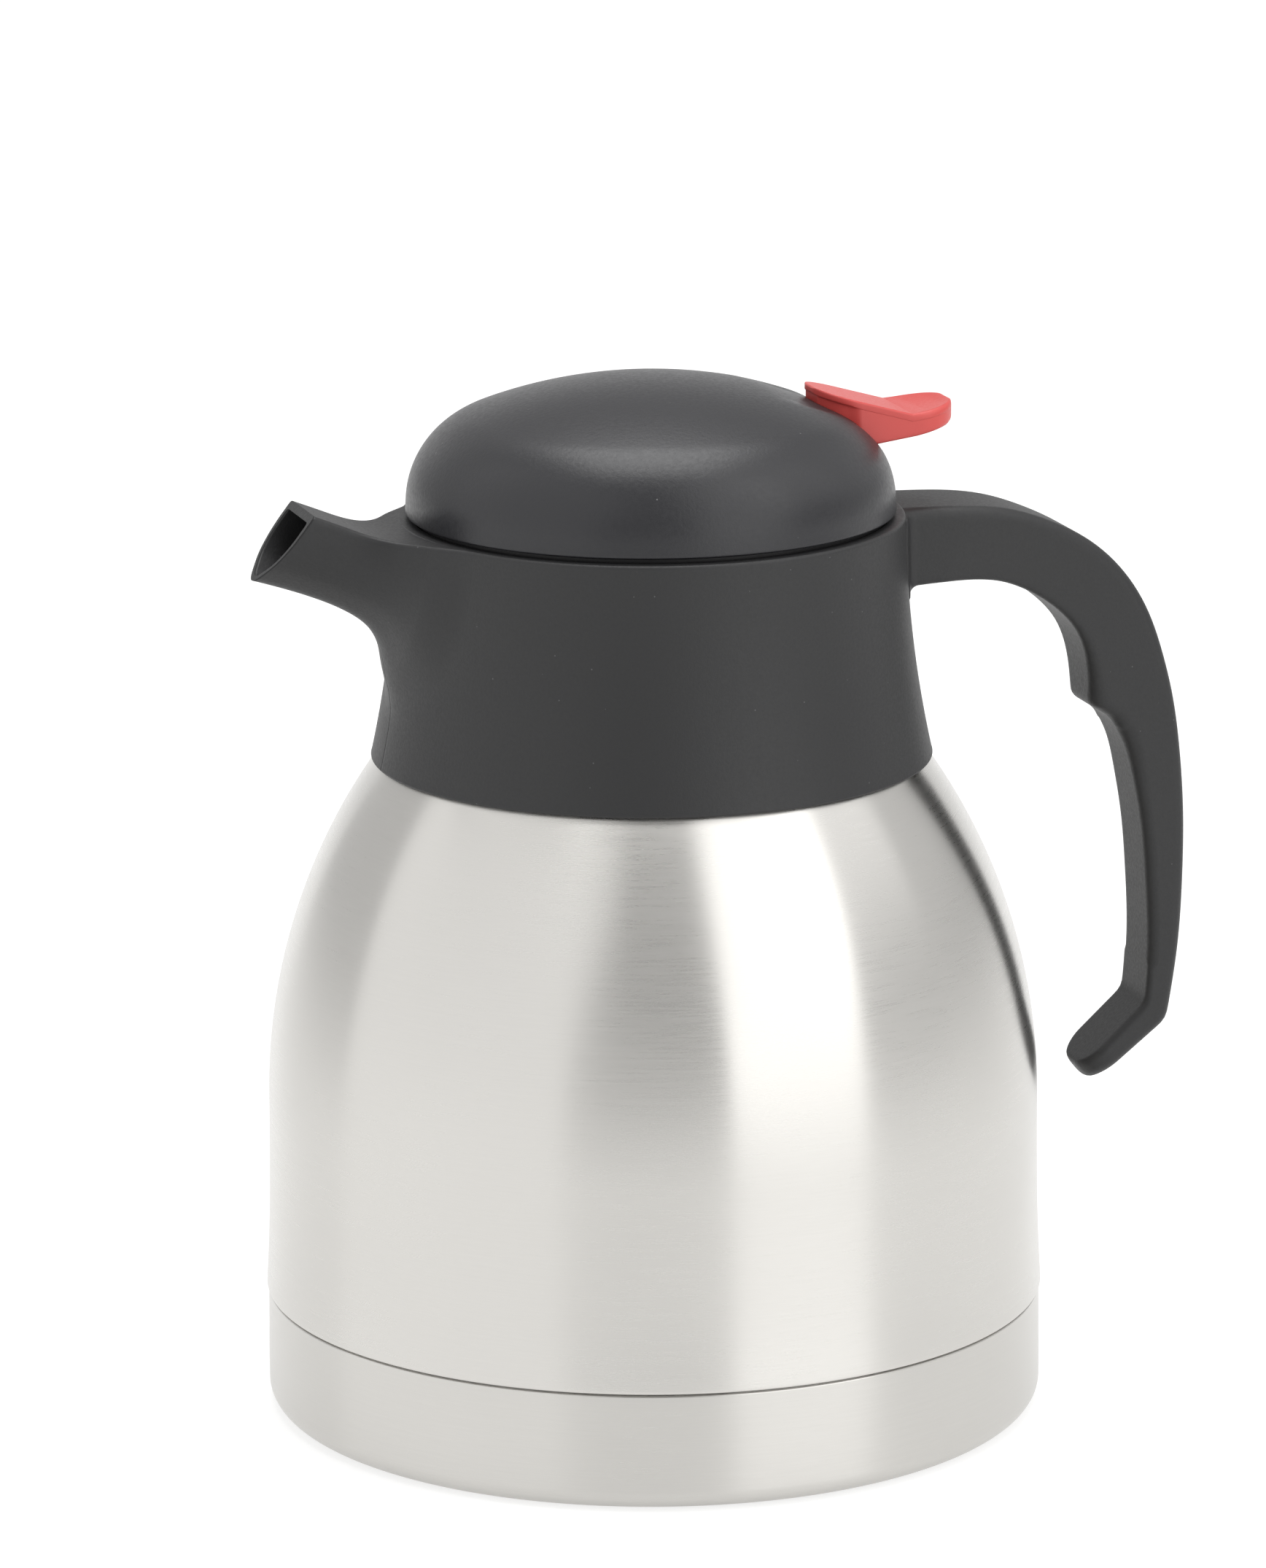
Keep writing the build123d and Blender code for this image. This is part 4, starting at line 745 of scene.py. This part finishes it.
core_line = [(0.0, 120.0), (54.2, 120.0)] + collar_line(FOOT_Z, 159.0, 1.2, 8)
core_line += [(44.0, 159.5), (44.0, 175.3), (46.85, 175.3), (46.85, 190.0), (0.0, 190.0)]
core = turned_piece("core", core_line, charcoal, 192)
channel = lofted("channel", hollow_rings(), charcoal)
for piece, cutter in ((spout_piece, core), (spout_piece, channel), (wall_piece, channel)):
    cut(piece, cutter)
for cutter in (core, channel):
    bpy.data.objects.remove(cutter)
print("spout:", len(spout_piece.data.polygons), "faces, wall:", len(wall_piece.data.polygons), "faces")

# %% [markdown]
# ## The handle
# The handle is an open hook: an arm level with the rim, a grip with a stop for the index finger, a
# knee and a short foot. Its section is a rounded oblong, wider at the arm than at the grip. It is
# lofted too: each section spans from a point of the inner line to its partner on the outer line.
# Where the arm meets the wall the section swells by a small radius, as the moulding does.

# %% Lines of the handle
OUTER_LINE = ((48.0, 178.8), (61.0, 178.4), (71.0, 177.2), (80.0, 174.2), (88.9, 169.5), (96.6, 162.6),
              (102.1, 153.9), (105.4, 144.8), (107.7, 135.6), (109.3, 124.5), (110.2, 112.0),
              (110.2, 99.2), (109.4, 85.0), (107.0, 69.1))
ARM_UNDER = ((48.0, 162.9), (60.0, 163.5), (69.5, 162.6), (76.8, 159.6), (83.0, 155.2), (87.0, 150.4),
             (89.4, 142.6), (89.9, 135.4))
GRIP_INSIDE = ((94.6, 132.4), (97.4, 127.2), (99.4, 120.0), (101.2, 110.0), (102.3, 98.0),
               (102.8, 85.0), (102.1, 73.1))
FOOT_UNDER, FOOT_TOP = (91.3, 56.9), (88.5, 60.6)
WIDTHS = ((46.0, 10.8), (60.0, 10.7), (70.0, 9.9), (80.0, 8.5), (90.0, 7.8), (114.0, 7.5))


def rounded(line, corner, size):
    """The line with one of its corners, given by its number, replaced by an arc-like bend."""
    a, b, c = (np.array(line[corner + i], float) for i in (-1, 0, 1))
    start = b + (a - b) / np.linalg.norm(a - b) * size
    end = b + (c - b) / np.linalg.norm(c - b) * size
    bend = [(1 - t) ** 2 * start + 2 * t * (1 - t) * b + t * t * end for t in np.linspace(0, 1, 7)]
    return [np.array(p) for p in line[:corner]] + bend + [np.array(p) for p in line[corner + 1:]]


def spaced(line, stops):
    """Points of a line at these shares of its length."""
    line = np.array(line, float)
    return taken_at(line, np.asarray(stops) * reach(line)[-1])


STOP_Z, GRIP_Z = 139.5, 133.0
outer_curve = through(OUTER_LINE, 2 * FINE_POINTS)
outer_z = outer_curve[:, 1]
arm_curve = through(ARM_UNDER, FINE_POINTS)
grip_curve = through(GRIP_INSIDE, FINE_POINTS)
stop_outer = np.argmin(np.abs(outer_z - STOP_Z))
grip_outer = np.argmin(np.abs(outer_z - GRIP_Z))
print("the handle's outer line is", round(float(reach(outer_curve)[-1])), "mm long")

# %% Pair the two lines
ARM_KEEPS, GRIP_STARTS = -14, 12
STOP_BEND, GRIP_BEND = 1.3, 1.6
KNEE_SOFT = 3
SHELF_STEPS = np.linspace(0.0, 1.0, 22)
GRIP_STEPS = np.linspace(0.0, 1.0, 46)
ROOT_STEPS = np.concatenate([np.linspace(0.0, 0.075, 16), np.linspace(0.09, 1.0, 44)])
shelf = [arm_curve[ARM_KEEPS], arm_curve[-1], grip_curve[0], grip_curve[GRIP_STARTS]]
shelf = rounded(shelf, 1, STOP_BEND)
shelf = rounded(shelf, len(shelf) - 2, GRIP_BEND)
shelf_in = spaced(shelf, SHELF_STEPS)
arm_in = spaced(arm_curve[:ARM_KEEPS], ROOT_STEPS)
grip_in = spaced(grip_curve[GRIP_STARTS:], GRIP_STEPS)
pairs_in = np.concatenate([arm_in, shelf_in[1:-1], grip_in])
pairs_out = np.concatenate([
    spaced(outer_curve[:stop_outer + 1], ROOT_STEPS),
    spaced(outer_curve[stop_outer:grip_outer + 1], SHELF_STEPS)[1:-1],
    spaced(outer_curve[grip_outer:], GRIP_STEPS),
])
foot_steps = np.concatenate([np.linspace(0.06, 0.66, 10), np.linspace(0.67, 1.0, 15)])
foot_steps = np.unique(np.concatenate([foot_steps, [0.985, 0.995]]))
knee_in, knee_out = np.array(GRIP_INSIDE[-1]), np.array(OUTER_LINE[-1])
foot_in_line = np.array([knee_in + (np.array(FOOT_TOP) - knee_in) * s for s in foot_steps])
foot_out_line = np.array([knee_out + (np.array(FOOT_UNDER) - knee_out) * s for s in foot_steps])


def soften(line, times):
    """Averages each point with its neighbours, the ends held, which rounds corners a little."""
    line = np.array(line)
    for _ in range(times):
        line[1:-1] = (line[:-2] + 2 * line[1:-1] + line[2:]) / 4
    return line


pairs_in = np.concatenate([pairs_in, foot_in_line])
pairs_out = np.concatenate([pairs_out, foot_out_line])
knee = len(arm_in) + len(shelf_in) - 2 + len(grip_in) - 1
bend = slice(knee - KNEE_SOFT, knee + KNEE_SOFT + 1)
for line in (pairs_in, pairs_out):
    line[bend] = soften(line[bend], 2)
print(len(pairs_in), "sections")

# %% Sections of the handle
TIP_R, TIP_EDGE, ROOT_R, EDGE_OUT = 6.4, 1.0, 2.5, 2.2
EDGE_IN, STOP_SWELLS, STOP_SPREADS, GRIP_SWELLS = 1.3, 2.0, 14.0, 0.7
FLAT_LEFT = 0.4
FAR_FROM_TIP = 99.0
SWOLLEN_RINGS = 24
TOP_SHARE = 12.0
stop_ring = len(arm_in) + 8
foot_long = float(np.linalg.norm(foot_in_line[-1] - knee_in))


def inner_edge(i):
    """Rounding of the inner long edges: large and soft at the finger stop, small elsewhere."""
    near = math.exp(-((i - stop_ring) / STOP_SPREADS) ** 2)
    on_grip = stop_ring + 10 < i < knee - 6
    return EDGE_IN + STOP_SWELLS * near + (GRIP_SWELLS if on_grip else 0.0)


def oblong_ring(inside, outside, edge_in, tip_gap):
    """A ring round one section. tip_gap is the way to the foot's end, measured along the foot."""
    span = np.linalg.norm(outside - inside)
    way = (outside - inside) / span
    if tip_gap < TIP_EDGE:
        pull = TIP_EDGE - math.sqrt(max(0.0, TIP_EDGE ** 2 - (TIP_EDGE - tip_gap) ** 2))
        inside, outside = inside + way * pull, outside - way * pull
        span -= 2 * pull
    thin = min(1.0, span / (edge_in + EDGE_OUT + FLAT_LEFT))
    edge_in, edge_out = edge_in * thin, EDGE_OUT * thin
    middle = (inside + outside) / 2
    half_w = np.interp(middle[0], *zip(*WIDTHS))
    if tip_gap < TIP_R:
        half_w += math.sqrt(TIP_R ** 2 - (TIP_R - tip_gap) ** 2) - TIP_R
    corner = arc(span - edge_out, half_w - edge_out, edge_out, 0, 90, 15)
    lower = arc(edge_in, half_w - edge_in, edge_in, 90, 180, 18)
    flat_top = [(span, (half_w - edge_out) * f) for f in (0.0, 0.5, 0.93)]
    side = [(edge_in + (span - edge_in - edge_out) * f, half_w) for f in (0.93, 0.5, 0.07)]
    flat_low = [(0.0, (half_w - edge_in) * f) for f in (0.93, 0.5, 0.0)]
    return closed_ring(flat_top + corner + side + lower + flat_low, inside, way)


def swell(ring):
    """Widens a ring near the wall, so that sides and underside meet it in a small radius. The flat
    top stays as it is, and the sides widen below the first of TOP_SHARE parts of their height."""
    out = np.hypot(ring[:, 0], ring[:, 1]) - collar_radius(np.minimum(ring[:, 2], RIM_Z))
    gap = np.clip(out, 0.0, ROOT_R)
    grow = ROOT_R - np.sqrt(ROOT_R ** 2 - (ROOT_R - gap) ** 2)
    top, low = ring[:, 2].max(), ring[:, 2].min()
    level = (top - ring[:, 2]) / (top - low)
    side = np.clip(np.abs(ring[:, 1]) / np.abs(ring[:, 1]).max(), 0.0, 1.0)
    ring[:, 1] += np.sign(ring[:, 1]) * grow * side ** 4 * np.clip(level * TOP_SHARE, 0.0, 1.0)
    ring[:, 2] -= grow * level ** 6
    return ring


handle_rings = []
for i in range(len(pairs_in)):
    gap = foot_long * (1.0 - foot_steps[i - knee - 1]) if i > knee else FAR_FROM_TIP
    ring = oblong_ring(pairs_in[i], pairs_out[i], inner_edge(i), gap)
    if i < SWOLLEN_RINGS:
        ring = swell(ring)
    handle_rings.append(ring)
handle_piece = lofted("handle", handle_rings, charcoal)
print("handle:", round(sum_of_volume(handle_piece), 1), "cm3")

# %% Join wall, spout and handle
def joined(name, pieces, finish):
    """One piece of several, with their meshes side by side."""
    points, faces, shift = [], [], 0
    for piece in pieces:
        points += [v.co[:] for v in piece.data.vertices]
        faces += [[shift + i for i in f.vertices] for f in piece.data.polygons]
        shift += len(piece.data.vertices)
    whole = new_piece(name, points, [], faces, finish)
    for piece in pieces:
        bpy.data.objects.remove(piece)
    return even_shading(whole)


collar_piece = joined("collar_skin", [wall_piece, spout_piece, handle_piece], charcoal)
print("collar:", len(collar_piece.data.polygons), "faces")

# %% [markdown]
# ## The thumb lever
# The lever is the one bright part, so its shape counts. A thin tongue slopes up the dome and rests on
# a narrower web that goes down through the slot. Behind the pin the body is as wide as the tongue and
# ends in a dished paddle for the thumb. It is lofted along X from sections shaped like a T: a plate on
# top with a web under it. Where the web grows as wide as the plate, the T turns into a plain oblong.

# %% Lines of the lever
PIN = np.array([37.0, 190.2])
TONGUE_TIP_X, KINK_X, PADDLE_END_X = -4.4, 14.0, 24.4
TOP_LINE = [(TONGUE_TIP_X, 12.55), (KINK_X, 7.3)]
PADDLE_LINE = through([(KINK_X, 7.3), (16.6, 7.6), (20.5, 8.2), (24.4, 8.8), (25.2, 8.85)], 60)
UNDER_LINE = [(-5.3, 7.1), (-1.5, 3.0), (2.5, 2.8), (4.4, 1.4), (7.0, 1.7), (15.0, 2.8),
              (22.0, 4.2), (25.2, 5.4)]
PLATE = 1.4
WEB_START_X = TONGUE_TIP_X + 0.6
WIDE, WEB = 9.5, 8.6
TONGUE_R, TONGUE_BLUNT = 8.0, 1.5
PADDLE_R, PADDLE_BLUNT = 8.6, 0.9
END_ROUND, UNDER_PULL, TOP_PULL = 0.45, 2.4, 2.2
TONGUE_EDGE, PADDLE_ADDS, DISH = 0.45, 0.6, 0.45
EDGE_GROWS, WEB_FILLS = (13.0, 17.0), (0.6, 3.4)
DISH_DEEP, DISH_ENDS, PADDLE_SLOW = 18.0, 3.0, 1.6
WEB_IN, PLATE_EDGE, WEB_ROOT, WEB_EDGE, HAIR = 0.7, 0.3, 0.35, 0.8, 0.02


def top_height(x):
    """Height of the lever's top in the middle plane, from the pin."""
    if x <= KINK_X:
        return float(np.interp(x, *zip(*TOP_LINE)))
    return float(np.interp(x, PADDLE_LINE[:, 0], PADDLE_LINE[:, 1]))


def plan_width(x):
    """Half width of tongue and paddle seen from above, with their round ends."""
    front, back = x - TONGUE_TIP_X, PADDLE_END_X - x
    if front < TONGUE_R:
        return TONGUE_BLUNT + math.sqrt(max(0.0, TONGUE_R ** 2 - (TONGUE_R - front) ** 2))
    if back < PADDLE_R:
        return PADDLE_BLUNT + math.sqrt(max(0.0, PADDLE_R ** 2 - (PADDLE_R - back) ** 2))
    return WIDE


def lever_ring(x):
    """A closed ring round the lever's section at x, measured from the pin. Both ends are rounded by
    END_ROUND, the paddle's end more than twice as much as the tongue's tip."""
    top, wide, behind = top_height(x), plan_width(x), x > KINK_X
    end_gap = min(1.0, min(x - TONGUE_TIP_X, (PADDLE_END_X - x) / PADDLE_SLOW) / END_ROUND)
    pull = END_ROUND * (1.0 - math.sqrt(max(0.0, 1.0 - (1.0 - end_gap) ** 2)))
    plate_low = top - PLATE + pull
    low = float(np.interp(x, *zip(*UNDER_LINE))) if x > WEB_START_X else plate_low - HAIR
    low = min(low + (UNDER_PULL * pull if behind else 0.0), plate_low - HAIR)
    top -= pull * (TOP_PULL if behind else 1.0)
    filled = ease(x, *WEB_FILLS)
    web = min(WEB + (WIDE - WEB) * filled, wide)
    web = min(web, wide - HAIR - WEB_IN * (1.0 - filled))
    edge = min(TONGUE_EDGE + PADDLE_ADDS * ease(x, *EDGE_GROWS), 0.6 * (top - low) / 2)
    dish = DISH * ease(x, KINK_X, DISH_DEEP) * ease(PADDLE_END_X - x, 0.0, DISH_ENDS)
    half = [(f * (wide - edge), top - dish * (1.0 - f ** 2))
            for f in (0, 0.15, 0.3, 0.45, 0.6, 0.75, 0.9, 0.98)]
    half += arc(wide - edge, top - edge, edge, 90, 0, 22.5)
    plate_edge = min(PLATE_EDGE, (top - edge - plate_low) * 0.45) * (1.0 - filled) + 0.01
    half += arc(wide - plate_edge, plate_low + plate_edge, plate_edge, 0, -90, 30)
    half.append((web + 0.4 * (wide - web), plate_low - 0.001))
    depth = plate_low - low
    corner, bottom = min(WEB_ROOT, 0.4 * depth), min(WEB_EDGE, 0.4 * depth)
    half += [(web + corner * (1 - math.sin(a)) * (wide - web), plate_low - corner * (1 - math.cos(a)))
             for a in np.radians((0, 45, 90))]
    half += [(web, plate_low - corner - (depth - corner - bottom) * f) for f in (0.15, 0.5, 0.85)]
    half += arc(web - bottom, low + bottom, bottom, 0, -90, 22.5)
    half += [(f * (web - bottom), low) for f in (0.9, 0.5, 0.0)]
    return closed_ring([(z, y) for y, z in half], (PIN[0] + x, PIN[1]), (0.0, 1.0))


stations = [TONGUE_TIP_X + s for s in (0.0, 0.01, 0.04, 0.1, 0.2, 0.33, 0.5)]
stations += [WEB_START_X, WEB_START_X + 0.01, 13.85, KINK_X, 14.15]
for first, last, count in ((-3.6, 2.0, 24), (2.1, 3.6, 12), (3.8, 13.6, 22), (14.5, 22.5, 24)):
    stations += list(np.linspace(first, last, count))
stations += list(PADDLE_END_X - 2.6 * np.cos(np.linspace(0.2, math.pi / 2, 18)))
stations = sorted(set(float(round(s, 4)) for s in stations))
thumb_part = lofted("thumb", [lever_ring(x) for x in stations], red_plastic)
print("thumb part:", len(stations), "sections,", round(sum_of_volume(thumb_part), 2), "cm3")

# %% Hub and fork inside the lid
def prism(name, outline, side_a, side_b, finish):
    """A plate cut to an outline in the XZ plane, between two depths along Y, in millimetres."""
    rings = [np.array([(x, y, z) for x, z in outline]) for y in (side_a, side_b)]
    return lofted(name, rings, finish)


HUB_R, HUB_REACH = 3.2, 9.2
TINE_IN, TINE_OUT, BRIDGE_REACH = 3.2, 6.4, 3.3
hub = prism("hub", arc(*PIN, HUB_R, 0, 360, 7.5)[:-1], -HUB_REACH, HUB_REACH, red_plastic)
tine_outline = [(-0.5, 190.7), (-1.4, 190.2), (-1.6, 189.6), (-1.0, 188.6), (0.0, 188.3), (1.2, 188.6),
                (9.0, 188.5), (34.8, 188.5), (34.8, 190.9), (0.0, 190.9)]
tines = [prism("tine", tine_outline, side * TINE_IN, side * TINE_OUT, red_plastic) for side in (-1, 1)]
bridge_outline = [(9.0, 188.5), (35.0, 188.5), (35.0, 190.9), (9.0, 190.9)]
bridge = prism("bridge", bridge_outline, -BRIDGE_REACH, BRIDGE_REACH, red_plastic)
lever_piece = joined("thumb_lever", [thumb_part, hub, *tines, bridge], red_plastic)
print("lever:", len(lever_piece.data.polygons), "faces")

# %% [markdown]
# ## The dome
# The lid's dome is a shallow crown that turns over a wide shoulder into a short, nearly upright side.
# It is turned from that outline. Round the lever the moulding is sunk by less than a millimetre, so
# that the tongue can lie low, and a slot with the tongue's own rounded outline lets the web through.
# Below the skin two ears carry the lever's pin.

# %% Dome
SHOULDER_AT, SHOULDER_SIZE = (28.961, 181.773), 19.0
CROWN_AT, CROWN_SIZE = (0.0, 108.811), 97.5
TURNS_OVER = 68.35
DOME_WALL = 2.2
SUNK_BY, SUNK_ABOVE, SKIN = 0.75, 188.0, 0.5
SUNK_FRONT, SUNK_BACK, SUNK_SIDE = (20.0, 31.0), (41.0, 46.5), (9.5, 15.0)
SLOT_X = (-4.2, -3.9, -3.4, -2.6, -1.6, -0.6, 0.4, 1.3, 2.2)
SLOT_NARROW, SLOT_WIDE, SLOT_GAP, SLOT_BACK_X = 8.7, 9.8, 0.35, 16.0
SLOT_Z = (190.6, 215.0)
EAR_R, EAR_IN, EAR_OUT = 3.5, 9.9, 12.4

dome_outline = arc(*CROWN_AT, CROWN_SIZE - DOME_WALL, 90, TURNS_OVER, 2)
dome_outline += arc(*SHOULDER_AT, SHOULDER_SIZE - DOME_WALL, TURNS_OVER, 3.4, 6)[1:]
dome_outline += [(45.9, 180.0), (47.3, 180.0)] + arc(47.68, 180.4, 0.4, -90, 0, 18)
dome_outline += [tuple(p) for p in np.linspace((48.07, 180.7), (47.94, 182.7), 4)]
dome_outline += arc(*SHOULDER_AT, SHOULDER_SIZE, 3.4, TURNS_OVER, 2.5)
dome_outline += arc(*CROWN_AT, CROWN_SIZE, TURNS_OVER, 90, 0.6)[1:]
dome_piece = turned_piece("dome", dome_outline, dome_plastic, 300)

for point in dome_piece.data.vertices:
    x, y, z = (v / MM for v in point.co)
    r = math.hypot(x, y)
    from_crown = math.hypot(r, z - CROWN_AT[1]) > CROWN_SIZE - SKIN
    from_shoulder = math.hypot(r - SHOULDER_AT[0], z - SHOULDER_AT[1]) > SHOULDER_SIZE - SKIN
    if z > SUNK_ABOVE and (from_crown or from_shoulder):
        length = ease(x, *SUNK_FRONT) * (1.0 - ease(x, *SUNK_BACK))
        point.co.z -= SUNK_BY * MM * length * (1.0 - ease(abs(y), *SUNK_SIDE))

slot_side = [(x, min(SLOT_NARROW, plan_width(x) - SLOT_GAP)) for x in SLOT_X]
slot_side += [(SLOT_X[-1], SLOT_WIDE), (SLOT_BACK_X, SLOT_WIDE)]
slot_plan = slot_side + [(x, -y) for x, y in reversed(slot_side)]
slot_rings = [np.array([(PIN[0] + x, y, z) for x, y in slot_plan]) for z in SLOT_Z]
slot = lofted("slot", slot_rings, dome_plastic)
cut(dome_piece, slot)
bpy.data.objects.remove(slot)

ear_outline = arc(*PIN, EAR_R, 180, 360, 15) + [(40.5, 193.5), (33.5, 198.0)]
ears = [prism("ear", ear_outline, side * EAR_IN, side * EAR_OUT, dome_plastic) for side in (-1, 1)]
dome_piece = joined("lid_dome_skin", [dome_piece, *ears], dome_plastic)
print("dome:", len(dome_piece.data.polygons), "faces")

# %% [markdown]
# ## The valve spring
# The spring pushes the valve onto its seat. It is one wire that follows a screw line, so a Geometry
# Nodes tree draws the line with the Spiral node and sweeps a small circle along it. It is wound at
# its length at rest.

# %% Spring tree
def coil_tree():
    """A node tree that winds a wire round Z."""
    labels = ("Turns", "Coil radius", "Height", "Lower end", "Wire radius")
    tree, start = open_tree("wind a coil", {**dict.fromkeys(labels, "Float"), "Finish": "Material"})
    turns, coil_r, height, low, wire_r = (start.outputs[label] for label in labels)
    line = add(tree, "GeometryNodeCurveSpiral", {"Resolution": 40, "Rotations": turns, "Height": height,
                                                 "Start Radius": coil_r, "End Radius": coil_r})
    lift = add(tree, "ShaderNodeCombineXYZ", {"Z": low})
    raised = add(tree, "GeometryNodeSetPosition", {"Geometry": line, "Offset": lift})
    circle = add(tree, "GeometryNodeCurvePrimitiveCircle", {"Resolution": 12, "Radius": wire_r})
    swept = add(tree, "GeometryNodeCurveToMesh", {"Curve": raised, "Profile Curve": circle,
                                                  "Fill Caps": True})
    return close_tree(tree, start, swept)


# %% Wind the spring
spring_low, spring_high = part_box("valve_spring")
spring_size = [high - low for low, high in zip(spring_low, spring_high)]
WIRE_R = 0.5 * MM
spring_piece = new_piece("spring_coil", [], [], [])
spring_sizes = {"Turns": 6.0, "Coil radius": spring_size[0] / 2 - WIRE_R,
                "Height": spring_size[2] - 2 * WIRE_R, "Lower end": spring_low[2] + WIRE_R,
                "Wire radius": WIRE_R, "Finish": drawn_steel}
grown(spring_piece, coil_tree(), spring_sizes)
print("spring:", [round(s / MM, 2) for s in spring_size], "mm,", len(spring_piece.data.polygons), "faces")

# %% [markdown]
# ## Put the pieces on their bodies
# Each new piece stands for one CAD part and moves with that part's body, so that the lid can be
# unscrewed and the lever pressed.

# %% Ride and replace
PLACES = {
    "base_cup": (base_piece, "jug", "brushed_steel_base"),
    "outer_shell": (shell_piece, "jug", "brushed_steel_shell"),
    "collar": (collar_piece, "jug", "charcoal_plastic"),
    "lid_dome": (dome_piece, "lid", "charcoal_plastic"),
    "lever": (lever_piece, "lever", "red_plastic"),
    "valve_spring": (spring_piece, "valve", "spring_steel"),
}
for name, (piece, body, finish_slot) in PLACES.items():
    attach(piece, body)
    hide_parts(name)

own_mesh(spring_piece)
